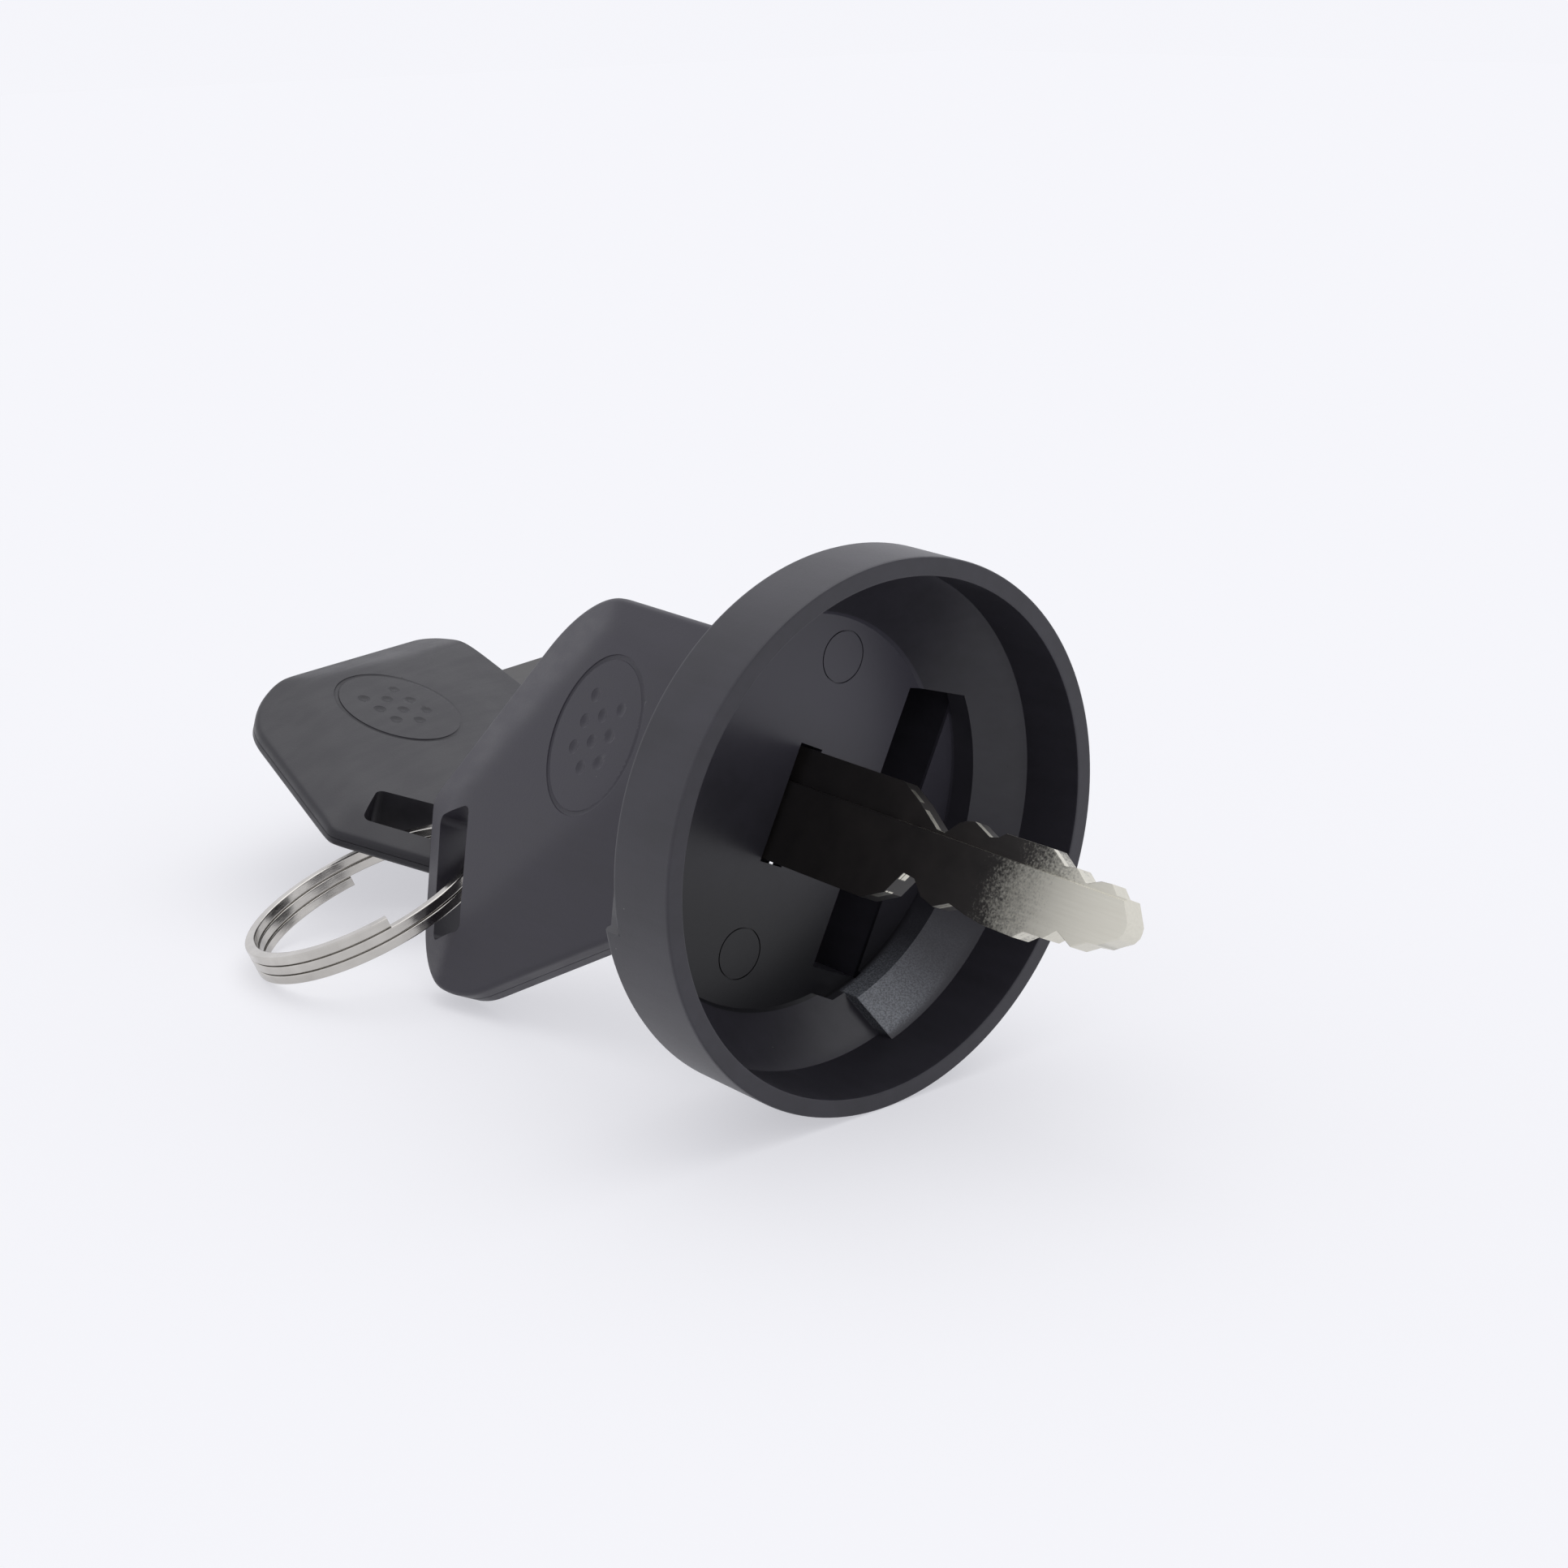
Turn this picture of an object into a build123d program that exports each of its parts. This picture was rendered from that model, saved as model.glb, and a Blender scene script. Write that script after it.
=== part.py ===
"""Moulded fuel filler cap with its key through the keyhole, a split ring and a spare key.

Every piece is drawn in a key frame (x = blade normal, y = blade width, z = along the blade,
origin at the centre of the cap's mouth) and is then set down on the floor plane z = 0.
Lengths are millimetres, angles are degrees.
"""
from build123d import *
from math import atan2, cos, degrees, hypot, radians, sin, tan
import os

# ---- cap: rim, floor and the stepped cone between them (levels are measured in from the mouth)
RIM_RADIUS = 27.0
RIM_WALL = 1.85
RIM_DEPTH = 7.0             # inner cylinder of the plain sector
LOW_STEP = 1.85             # how much deeper the low sector lies
LOW_SECTOR_START = -144.4   # measured from the blade normal
LOW_SECTOR_ARC = 97.2
FLOOR_DEPTH = 14.2
FLOOR_RADIUS = 18.9
CONE_WALL = 1.3
FLOOR_WALL = 1.3
RIM_FOOT = 0.9              # web between the rim's inner cylinder and its back edge
RIM_EDGE = 0.35

# ---- cap: keyhole, slot pocket, D-shaped recess, ramp and ejector marks
KEYHOLE_CLEARANCE = 0.3
POCKET_START = 10.25
POCKET_WIDTH = 6.4
POCKET_LENGTH = 29.0
POCKET_DEPTH = 6.8
POCKET_WALL = 1.2
RECESS_RADIUS = 21.6
RAMP_START = 15.3
RAMP_LENGTH = 2.6
RAMP_RUN = 4.3
RAMP_RISE = 2.6
EJECTOR_OFFSET = 15.2
EJECTOR_RADIUS = 2.6
EJECTOR_SINK = 0.12

# ---- key blade: shank, then cuts given as (distance from the mouth, height above the centre line)
BLADE_THICKNESS = 2.4
SHANK_WIDTH = 11.5
SHANK_TAIL = 14.0           # length held inside the head
SHANK_STOP = -0.4           # where the shank's full width ends
SHANK_BEVEL = 2.65
UPPER_CUTS = [(5.5, 2.5), (8.1, 4.2), (9.5, 4.5), (12.1, 3.4), (13.4, 4.3), (18.2, 4.45), (24.5, 2.2), (27.2, 3.2)]
LOWER_CUTS = [(3.7, 2.25), (4.8, 2.3), (6.9, 4.0), (9.4, 4.0), (11.8, 3.6), (19.1, 4.1), (23.0, 2.8), (23.4, 2.3)]
CUT_WIDTH = 9.0             # width of the cut part of the blade
TIP_REACH = 31.5
TIP_WIDTH = 1.6
STEP_HEIGHT = 2.2           # the thinned upper strip of the blade starts here
STEP_DEPTH = 0.45

# ---- key head: a five-sided wedge, with sides given by where they run
HEAD_GAP = 1.3              # from the cap's back to the head
HEAD_TOP = 14.3
HEAD_OUTER = (-66.3, -13.0)         # outer corner: (along, across)
HEAD_SLANT_TOP = -52.1              # where the slanted side meets the top
HEAD_LOW = (-56.05, -35.5)          # low corner before rounding
HEAD_NECK_LOW = -10.2               # low end of the neck side
TOP_RADIUS = 14.0
OUTER_RADIUS = 2.0
LOW_RADIUS = 9.5
NECK_RADIUS = 3.0
HEAD_HALF = 5.3             # half thickness at the neck
WEDGE_START = -32.0
WEDGE_ANGLE = 5.0
BEVEL_DROP = 1.9            # bevel of the faces along the sides
BEVEL_ANGLE = 20.0
LOW_BEVEL_DROP = 3.0        # the wide bevel towards the low side
LOW_BEVEL_ANGLE = 13.0

# ---- slot for the ring, and the oval thumb recess
SLOT_CENTRE = (-56.9, -19.2)
SLOT_LENGTH = 14.0
SLOT_WIDTH = 6.0
SLOT_ANGLE = -65.2          # from the blade's length
SLOT_ROUND = 0.8
OVAL_CENTRE = (-39.8, -0.1)
OVAL_LENGTH = 17.2
OVAL_WIDTH = 14.0
OVAL_TILT = 7.0
OVAL_SINK = 0.25

# ---- split ring
RING_RADIUS = 13.7
WIRE_WIDTH = 1.2
WIRE_THICKNESS = 1.08
TURN_GAP = 0.1
RING_TURNS = 2.5
RING_START = 160.0          # angle at which the lowest turn begins

# ---- how the pieces stand
NOSE_DOWN = 2.32            # the cap's axis dips towards its mouth
KEY_ROLL = 25.0             # the key's plane leans over by this
SPARE_ORIGIN = (-112.08, 48.92)  # spare key's frame, from the mouth's centre along the floor
SPARE_YAW = 107.11           # direction of its blade
SPARE_DIP = 1.08            # its blade dips towards the tip
SPARE_ROLL = 17.24          # its top side is raised
SPARE_LIFT = 3.95            # the ring holds its head this far above the floor
RING_CENTRE = (-70.75, -12.39)
RING_TILT = 23.23
RING_AZIMUTH = -117.87
FLOOR_TOUCH = 0.02          # the lowest points stop this far above the floor

# ---- derived sizes
INNER_RADIUS = RIM_RADIUS - RIM_WALL
CONE_SLOPE = atan2(FLOOR_DEPTH - RIM_DEPTH, INNER_RADIUS - FLOOR_RADIUS)
CONE_SHIFT = CONE_WALL / cos(CONE_SLOPE)
CAP_DEPTH = FLOOR_DEPTH + FLOOR_WALL
RIM_BACK = RIM_DEPTH + RIM_FOOT
NECK = -(CAP_DEPTH + HEAD_GAP)
HUGE = 200.0
CENTRED_UP = (Align.CENTER, Align.CENTER, Align.MIN)


def cone_radius(level, shift=0.0):
    """Radius of the plain cone at a level, for the inside (shift 0) or the outside."""
    return FLOOR_RADIUS + (FLOOR_DEPTH + shift - level) / tan(CONE_SLOPE)


def turned(points, start, arc):
    """Turn a (radius, level) outline about the cap's axis."""
    outline = make_face(Polyline([(r, 0, -level) for r, level in points], close=True))
    return Rot(0, 0, start) * revolve(outline, axis=Axis.Z, revolution_arc=arc)


def cap_outside(step, start, arc):
    """Outer form of one sector of the cap, filled to its axis."""
    back = RIM_BACK + step
    shoulder = min(cone_radius(back, CONE_SHIFT + step), RIM_RADIUS - RIM_EDGE)
    foot = cone_radius(CAP_DEPTH, CONE_SHIFT + step)
    points = [(0, 0), (RIM_RADIUS - RIM_EDGE, 0), (RIM_RADIUS, RIM_EDGE), (RIM_RADIUS, back - RIM_EDGE),
              (RIM_RADIUS - RIM_EDGE, back), (shoulder, back), (foot, CAP_DEPTH), (0, CAP_DEPTH)]
    return turned(points, start, arc)


def cap_inside(step, start, arc):
    """Hollow of one sector of the cap."""
    foot = cone_radius(FLOOR_DEPTH, step)
    points = [(0, -1), (INNER_RADIUS, -1), (INNER_RADIUS, RIM_DEPTH + step), (foot, FLOOR_DEPTH), (0, FLOOR_DEPTH)]
    return turned(points, start, arc)


def block(low, high):
    """Box between two corners."""
    size = [b - a for a, b in zip(low, high)]
    return Pos(*low) * Box(*size, align=(Align.MIN, Align.MIN, Align.MIN))


def cap():
    """The whole moulding in the key frame."""
    body = cap_outside(0, 0, 360) + cap_outside(LOW_STEP, LOW_SECTOR_START, LOW_SECTOR_ARC)
    half = POCKET_LENGTH / 2
    pocket_end = POCKET_START + POCKET_WIDTH
    pocket_back = FLOOR_DEPTH + POCKET_DEPTH
    body += block((POCKET_START - POCKET_WALL, -half - POCKET_WALL, -pocket_back - POCKET_WALL),
                  (pocket_end + POCKET_WALL, half + POCKET_WALL, -FLOOR_DEPTH))
    shell = Pos(0, 0, -CAP_DEPTH) * Cylinder(RECESS_RADIUS + CONE_WALL, CAP_DEPTH - RIM_DEPTH, align=CENTRED_UP)
    shell &= block((POCKET_START - POCKET_WALL, -half - RAMP_LENGTH - CONE_WALL, -CAP_DEPTH),
                   (HUGE, RAMP_START + RAMP_LENGTH + CONE_WALL, 0))
    body += shell
    body -= cap_inside(0, 0, 360)
    body -= cap_inside(LOW_STEP, LOW_SECTOR_START, LOW_SECTOR_ARC)
    recess = Pos(0, 0, -FLOOR_DEPTH) * Cylinder(RECESS_RADIUS, FLOOR_DEPTH, align=CENTRED_UP)
    recess &= block((POCKET_START, -half - RAMP_LENGTH, -FLOOR_DEPTH), (HUGE, RAMP_START + RAMP_LENGTH, 0))
    body -= recess
    ramp = make_face(Polyline([(POCKET_START, 0, -FLOOR_DEPTH), (POCKET_START + RAMP_RUN, 0, RAMP_RISE - FLOOR_DEPTH),
                               (POCKET_START + RAMP_RUN, 0, -FLOOR_DEPTH)], close=True))
    body += Pos(0, RAMP_START + RAMP_LENGTH, 0) * extrude(ramp, RAMP_LENGTH, dir=(0, -1, 0))
    body -= block((POCKET_START, -half, -pocket_back), (pocket_end, half, -FLOOR_DEPTH))
    hole_x = BLADE_THICKNESS / 2 + KEYHOLE_CLEARANCE
    hole_y = SHANK_WIDTH / 2 + KEYHOLE_CLEARANCE
    body -= block((-hole_x, -hole_y, -CAP_DEPTH - 1), (hole_x, hole_y, 1 - FLOOR_DEPTH))
    for side in (-1, 1):
        body -= Pos(0, side * EJECTOR_OFFSET, EJECTOR_SINK / 2 - FLOOR_DEPTH) * Cylinder(EJECTOR_RADIUS, 2 * EJECTOR_SINK)
    return body


def blade():
    """Stamped blade: shank, bevelled stop, cut edges and the thinned strip along its upper side."""
    shank = SHANK_WIDTH / 2
    start = SHANK_STOP + SHANK_BEVEL
    cut = CUT_WIDTH / 2
    tail = NECK - SHANK_TAIL
    upper = [(tail, shank), (SHANK_STOP, shank), (start, cut)] + UPPER_CUTS + [(TIP_REACH, TIP_WIDTH / 2)]
    lower = [(tail, shank), (SHANK_STOP, shank), (start, cut)] + LOWER_CUTS + [(TIP_REACH, TIP_WIDTH / 2)]
    outline = [(0, height, along) for along, height in upper] + [(0, -height, along) for along, height in reversed(lower)]
    face = make_face(Polyline(outline, close=True))
    solid = extrude(face, BLADE_THICKNESS / 2, dir=(1, 0, 0), both=True)
    front = -BLADE_THICKNESS / 2
    return solid - block((front - 1, STEP_HEIGHT, -CAP_DEPTH), (front + STEP_DEPTH, shank + 1, HUGE))


def head_outline():
    """Five-sided outline of the head in the plane of the blade, with rounded corners."""
    corners = [(NECK, HEAD_TOP), (HEAD_SLANT_TOP, HEAD_TOP), HEAD_OUTER, HEAD_LOW, (NECK, HEAD_NECK_LOW)]
    radii = [NECK_RADIUS, TOP_RADIUS, OUTER_RADIUS, LOW_RADIUS, NECK_RADIUS]
    path = FilletPolyline([(0, across, along) for along, across in corners], radius=radii, close=True)
    return corners, make_face(path)


def trimmed(body, point, outward):
    """Cut away what lies beyond a plane."""
    beyond = Plane(origin=point, z_dir=outward) * Box(HUGE, HUGE, HUGE, align=CENTRED_UP)
    return body - beyond


def wedge_half(along):
    """Half thickness of the head's face at a distance along the key."""
    return HEAD_HALF - max(0.0, WEDGE_START - along) * tan(radians(WEDGE_ANGLE))


def head():
    """Overmoulded head: wedge, bevels along its sides, ring slot, oval recess and the shank's seat."""
    corners, outline = head_outline()
    body = extrude(outline, HEAD_HALF, dir=(1, 0, 0), both=True)
    sides = list(zip(corners, corners[1:] + corners[:1]))
    for facing in (-1, 1):
        slope = Vector(facing * cos(radians(WEDGE_ANGLE)), 0, -sin(radians(WEDGE_ANGLE)))
        body = trimmed(body, (facing * HEAD_HALF, 0, WEDGE_START), slope)
        for index, ((along, across), (next_along, next_across)) in enumerate(sides[:4]):
            low_side = index == 3
            drop = LOW_BEVEL_DROP if low_side else BEVEL_DROP
            angle = radians(LOW_BEVEL_ANGLE if low_side else BEVEL_ANGLE)
            length = hypot(next_along - along, next_across - across)
            out_along = (across - next_across) / length
            out_across = (next_along - along) / length
            if out_along * (WEDGE_START - along) + out_across * (0 - across) > 0:
                out_along, out_across = -out_along, -out_across
            level = wedge_half((along + next_along) / 2) - drop
            outward = Vector(facing * cos(angle), out_across * sin(angle), out_along * sin(angle))
            body = trimmed(body, (facing * level, (across + next_across) / 2, (along + next_along) / 2), outward)
    slot = RectangleRounded(SLOT_LENGTH, SLOT_WIDTH, SLOT_ROUND)
    slot_plane = Plane(origin=(0, SLOT_CENTRE[1], SLOT_CENTRE[0]), z_dir=(1, 0, 0),
                       x_dir=(0, sin(radians(SLOT_ANGLE)), cos(radians(SLOT_ANGLE))))
    body -= extrude(slot_plane * slot, HUGE, both=True)
    face_normal = Vector(-cos(radians(WEDGE_ANGLE)), 0, -sin(radians(WEDGE_ANGLE)))
    oval_plane = Plane(origin=(-wedge_half(OVAL_CENTRE[0]), OVAL_CENTRE[1], OVAL_CENTRE[0]), z_dir=face_normal,
                       x_dir=(0, cos(radians(OVAL_TILT)), sin(radians(OVAL_TILT))))
    body -= extrude(oval_plane * Ellipse(OVAL_LENGTH / 2, OVAL_WIDTH / 2), OVAL_SINK, both=True)
    seat = block((-BLADE_THICKNESS / 2, -SHANK_WIDTH / 2, NECK - SHANK_TAIL), (BLADE_THICKNESS / 2, SHANK_WIDTH / 2, 0))
    return body - seat


def split_ring():
    """Flat wire wound two and a half turns, centred on its own middle plane, axis z."""
    pitch = WIRE_THICKNESS + TURN_GAP
    height = pitch * RING_TURNS
    path = Helix(pitch=pitch, height=height, radius=RING_RADIUS)
    section = Plane(origin=path @ 0, z_dir=path % 0, x_dir=(1, 0, 0)) * Rectangle(WIRE_WIDTH, WIRE_THICKNESS)
    wire = sweep(section, path=path, is_frenet=True)
    return Rot(0, 0, RING_START) * Pos(0, 0, -height / 2) * wire


def lowest(shape):
    """Height of a shape's lowest point."""
    return shape.bounding_box().min.Z


# ---- frames: the cap's with its key, the spare key's and the ring's
dip = radians(NOSE_DOWN)
roll = radians(KEY_ROLL)
axis_out = Vector(cos(dip), 0, -sin(dip))
upright = Vector(sin(dip), 0, cos(dip))
blade_normal = Vector(0, 1, 0) * cos(roll) - upright * sin(roll)
cap_frame = Plane(origin=(0, 0, 0), x_dir=blade_normal, z_dir=axis_out)

spare_dir = Vector(cos(radians(SPARE_DIP)) * cos(radians(SPARE_YAW)),
                   cos(radians(SPARE_DIP)) * sin(radians(SPARE_YAW)), -sin(radians(SPARE_DIP)))
spare_level = Vector(-sin(radians(SPARE_YAW)), cos(radians(SPARE_YAW)), 0)
spare_rise = spare_dir.cross(spare_level)
spare_down = spare_level * sin(radians(SPARE_ROLL)) - spare_rise * cos(radians(SPARE_ROLL))
spare_frame = Plane(origin=(0, 0, 0), x_dir=spare_down, z_dir=spare_dir)

ring_lean = Vector(sin(radians(RING_TILT)) * cos(radians(RING_AZIMUTH)),
                   sin(radians(RING_TILT)) * sin(radians(RING_AZIMUTH)), cos(radians(RING_TILT)))
ring_frame = Plane(origin=(0, 0, 0), x_dir=Vector(1, 0, 0) - ring_lean * ring_lean.X, z_dir=ring_lean)


def place(shape, frame, x, y, z):
    """Turn a piece into a frame and move it."""
    return Pos(x, y, z) * (frame.location * shape)


blade_solid = blade()
head_solid = head()
cap_height = FLOOR_TOUCH - lowest(cap_frame.location * cap())
spare_height = FLOOR_TOUCH + SPARE_LIFT - lowest(spare_frame.location * head_solid)
ring_height = FLOOR_TOUCH - lowest(ring_frame.location * split_ring())
nodes = {
    "cap": place(cap(), cap_frame, 0, 0, cap_height),
    "key_1_blade": place(blade_solid, cap_frame, 0, 0, cap_height),
    "key_1_head": place(head_solid, cap_frame, 0, 0, cap_height),
    "split_ring": place(split_ring(), ring_frame, RING_CENTRE[0], RING_CENTRE[1], ring_height),
    "key_2_blade": place(blade_solid, spare_frame, SPARE_ORIGIN[0], SPARE_ORIGIN[1], spare_height),
    "key_2_head": place(head_solid, spare_frame, SPARE_ORIGIN[0], SPARE_ORIGIN[1], spare_height),
}

# ---- the row's origin is the middle of the whole set's footprint, on the floor
boxes = [shape.bounding_box() for shape in nodes.values()]
low = [min(box.min.X for box in boxes), min(box.min.Y for box in boxes), min(box.min.Z for box in boxes)]
high = [max(box.max.X for box in boxes), max(box.max.Y for box in boxes), max(box.max.Z for box in boxes)]
to_origin = Pos(-(low[0] + high[0]) / 2, -(low[1] + high[1]) / 2, -low[2])

os.makedirs("parts", exist_ok=True)
for name, shape in nodes.items():
    export_step(to_origin * shape, f"parts/{name}.step")

shift = to_origin.position
mouth = Vector(shift.X, shift.Y, shift.Z + cap_height)
spare = Vector(SPARE_ORIGIN[0], SPARE_ORIGIN[1], spare_height) + shift
ring_middle = Vector(RING_CENTRE[0], RING_CENTRE[1], ring_height) + shift


def ring_joint():
    """Point of the ring's mean circle nearest the first head's slot, and the wire's direction there."""
    slot_middle = mouth + cap_frame.y_dir * SLOT_CENTRE[1] + cap_frame.z_dir * SLOT_CENTRE[0]
    spoke = slot_middle - ring_middle
    spoke = (spoke - ring_lean * spoke.dot(ring_lean)).normalized()
    return ring_middle + spoke * RING_RADIUS, ring_lean.cross(spoke)


print("mouth centre", mouth)
print("cap axis", axis_out, "blade normal", blade_normal, "width", axis_out.cross(blade_normal))
print("spare origin", spare)
print("spare along", spare_dir, "normal", spare_down, "width", spare_dir.cross(spare_down))
print("ring centre", ring_middle, "axis", ring_lean)
print("ring in first head", *ring_joint())
print("box", [b - a for a, b in zip(low, high)], "head lowest", lowest(nodes["key_1_head"]), "spare", spare_height)
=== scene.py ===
"""Looks of a black filler cap with its key, a split ring and a spare key.

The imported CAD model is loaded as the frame. Every piece is worked out in millimetres in a frame of
its own, and its place is then written into its mesh, in metres. The cap shares its frame with the
key in it: x is the blade's normal, y its width, and z runs along it towards its tip. The ring's z
is its axis. Materials turn Object coordinates back into that frame, so that their patterns keep to
the piece.
"""

from __future__ import annotations

import logging
import math
from dataclasses import dataclass, field
from enum import Enum
from typing import Iterable, Sequence

import bmesh
import bpy
import numpy as np
from mathutils import Matrix, Vector

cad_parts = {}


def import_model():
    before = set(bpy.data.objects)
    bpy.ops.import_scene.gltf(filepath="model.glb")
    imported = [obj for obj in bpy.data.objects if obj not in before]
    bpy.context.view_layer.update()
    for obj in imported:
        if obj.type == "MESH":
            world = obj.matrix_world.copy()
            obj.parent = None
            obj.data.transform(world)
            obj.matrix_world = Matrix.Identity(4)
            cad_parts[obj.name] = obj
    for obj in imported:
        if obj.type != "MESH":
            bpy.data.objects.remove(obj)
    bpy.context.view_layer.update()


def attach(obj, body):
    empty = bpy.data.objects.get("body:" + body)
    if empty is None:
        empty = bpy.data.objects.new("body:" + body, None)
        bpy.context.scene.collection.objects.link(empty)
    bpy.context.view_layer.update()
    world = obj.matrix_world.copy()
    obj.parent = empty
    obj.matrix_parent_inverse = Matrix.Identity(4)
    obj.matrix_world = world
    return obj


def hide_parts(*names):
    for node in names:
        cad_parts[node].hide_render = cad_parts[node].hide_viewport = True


LOG = logging.getLogger("scene")
MM = 0.001
BIG = 200.0  # past the end of every piece, in millimetres
PAST = 1.0  # how far a cut runs on past the face that it opens, in millimetres

Point2 = tuple[float, float]
Point3 = tuple[float, float, float]


class Op(Enum):
    """Boolean operations by their names in the modifier."""

    CUT = "DIFFERENCE"
    JOIN = "UNION"
    KEEP = "INTERSECT"


@dataclass(frozen=True)
class Pose:
    """Where a piece's own frame stands in the row's frame.

    Attributes:
        origin: The frame's origin, in millimetres.
        normal: Direction of the frame's x axis.
        width: Direction of the frame's y axis.
        along: Direction of the frame's z axis.
    """

    origin: Point3
    normal: Point3
    width: Point3
    along: Point3

    def matrix(self) -> Matrix:
        """Matrix from the piece's own millimetres to the row's metres."""
        columns = [Vector(v).normalized() for v in (self.normal, self.width, self.along)]
        turn = Matrix(columns).transposed().to_4x4()
        return Matrix.Translation(Vector(self.origin) * MM) @ turn @ Matrix.Scale(MM, 4)


CAP_POSE = Pose(
    origin=(45.9084, -26.1832, 26.981),
    normal=(-0.017108, 0.906308, -0.422272),
    width=(0.036688, 0.422618, 0.905565),
    along=(0.99918, 0.0, -0.040481),
)
SPARE_POSE = Pose(
    origin=(-66.1716, 22.7368, 14.4758),
    normal=(-0.277962, -0.1044, -0.954902),
    width=(-0.914445, -0.27565, 0.296322),
    along=(-0.294155, 0.955572, -0.018848),
)
RING_POSE = Pose(
    origin=(-24.8416, -38.5732, 7.25866),
    normal=(0.982855, -0.06541, 0.172388),
    width=(0.0, 0.934959, 0.354756),
    along=(-0.18438, -0.348674, 0.918929),
)

# Sizes that a piece shares with its neighbour or with its finish.
NECK = -16.8  # where the head ends towards the cap
FLOOR_DEPTH = 14.2  # the cap's floor, measured in from its mouth
BLADE_HALF = 1.2  # half thickness of the blade
STRIP_DEPTH = 0.45  # how much thinner the blade's upper strip is


# --------------------------------------------------------------------------- mesh tools


def mesh_object(name: str, verts: np.ndarray | Sequence[Point3], faces: Iterable[Sequence[int]]) -> bpy.types.Object:
    """Make a linked mesh object with outward normals.

    Args:
        name: Name of the object and its mesh.
        verts: (n, 3) vertex positions.
        faces: Vertex indices of each face.

    Returns:
        The new object.
    """
    mesh = bpy.data.meshes.new(name)
    mesh.from_pydata(np.asarray(verts, float).tolist(), [], list(faces))
    mesh.validate()
    obj = bpy.data.objects.new(name, mesh)
    bpy.context.scene.collection.objects.link(obj)
    bm = bmesh.new()
    bm.from_mesh(mesh)
    bmesh.ops.recalc_face_normals(bm, faces=bm.faces)
    bm.to_mesh(mesh)
    bm.free()
    return obj


def tube_faces(rows: np.ndarray) -> list[list[int]]:
    """Quads between neighbouring rows of vertex indices, each row closed on itself.

    Args:
        rows: (n, m) array of indices.

    Returns:
        (n - 1) * m quads, row by row.
    """
    ahead = np.roll(rows, -1, 1)
    return np.stack([rows[:-1], ahead[:-1], ahead[1:], rows[1:]], -1).reshape(-1, 4).tolist()


def lathe(profile: Sequence[Point2], start: float = 0.0, arc: float = 360.0, step: float = 2.0) -> bpy.types.Object:
    """Turn a closed (radius, depth) outline about z.

    A point is (radius cos angle, radius sin angle, -depth). Points of radius 0 are one pole each.

    Args:
        profile: Outline points; radius 0 lies on the axis.
        start: First angle, in degrees.
        arc: Angle swept, in degrees.
        step: Largest angle between neighbouring sections.

    Returns:
        A closed mesh.
    """
    full = arc >= 360.0
    count = max(3, math.ceil(arc / step))
    sections = count if full else count + 1
    radius, depth = np.array(profile, float).T
    angle = np.radians(start + arc * np.arange(sections) / count)[:, None]
    x, y = radius * np.cos(angle), radius * np.sin(angle)
    grid = np.stack([x, y, np.broadcast_to(-depth, x.shape)], -1)
    turned = radius > 0
    index = len(radius) + (np.arange(sections)[:, None] - 1) * turned.sum() + np.cumsum(turned) - 1
    index = np.where(turned & (np.arange(sections) > 0)[:, None], index, np.arange(len(radius)))
    verts = np.concatenate([grid[0], grid[1:, turned].reshape(-1, 3)])
    rows = np.vstack([index, index[:1]]) if full else index
    faces = [face for face in (list(dict.fromkeys(quad)) for quad in tube_faces(rows)) if len(face) > 2]
    if not full:
        faces.extend([index[0].tolist(), index[-1, ::-1].tolist()])
    return mesh_object("lathe", verts, faces)


def prism(outline: Sequence[Point2], low: float, high: float) -> bpy.types.Object:
    """Extrude an outline; a point is (x, across, along) with x at low and at high.

    Args:
        outline: (along, across) points in order.
        low: First x.
        high: Last x.

    Returns:
        A closed mesh.
    """
    along, across = np.array(outline, float).T
    size = len(along)
    verts = np.concatenate([np.stack([np.full(size, x), across, along], -1) for x in (low, high)])
    here = np.arange(size)
    ahead = np.roll(here, -1)
    sides = np.stack([here, here + size, ahead + size, ahead], -1).tolist()
    return mesh_object("prism", verts, [here.tolist(), (here + size)[::-1].tolist(), *sides])


def block(low: Point3, high: Point3) -> bpy.types.Object:
    """Box between two corners."""
    outline = [(low[2], low[1]), (high[2], low[1]), (high[2], high[1]), (low[2], high[1])]
    return prism(outline, low[0], high[0])


def rounded(corners: Sequence[Point2], radii: Sequence[float], step: float = 6.0) -> np.ndarray:
    """Replace each corner of a convex outline by an arc that touches both of its sides.

    Args:
        corners: Outline corners in order.
        radii: Arc radius for each corner.
        step: Angle between arc points, in degrees.

    Returns:
        (n, 2) array of the rounded outline's points.
    """
    points = np.array(corners, float)
    arcs = []
    for here, back, front, radius in zip(points, np.roll(points, 1, 0), np.roll(points, -1, 0), radii):
        back = (back - here) / np.linalg.norm(back - here)
        front = (front - here) / np.linalg.norm(front - here)
        half = math.acos(float(np.clip(back @ front, -1, 1))) / 2
        middle = back + front
        centre = here + middle / np.linalg.norm(middle) * radius / math.sin(half)
        first = here + back * radius / math.tan(half) - centre
        last = here + front * radius / math.tan(half) - centre
        begin = math.atan2(first[1], first[0])
        turn = (math.atan2(last[1], last[0]) - begin + math.pi) % (2 * math.pi) - math.pi
        count = max(2, math.ceil(abs(math.degrees(turn)) / step))
        angle = begin + turn * np.arange(count + 1) / count
        arcs.append(centre + radius * np.stack([np.cos(angle), np.sin(angle)], -1))
    return np.concatenate(arcs)


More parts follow.
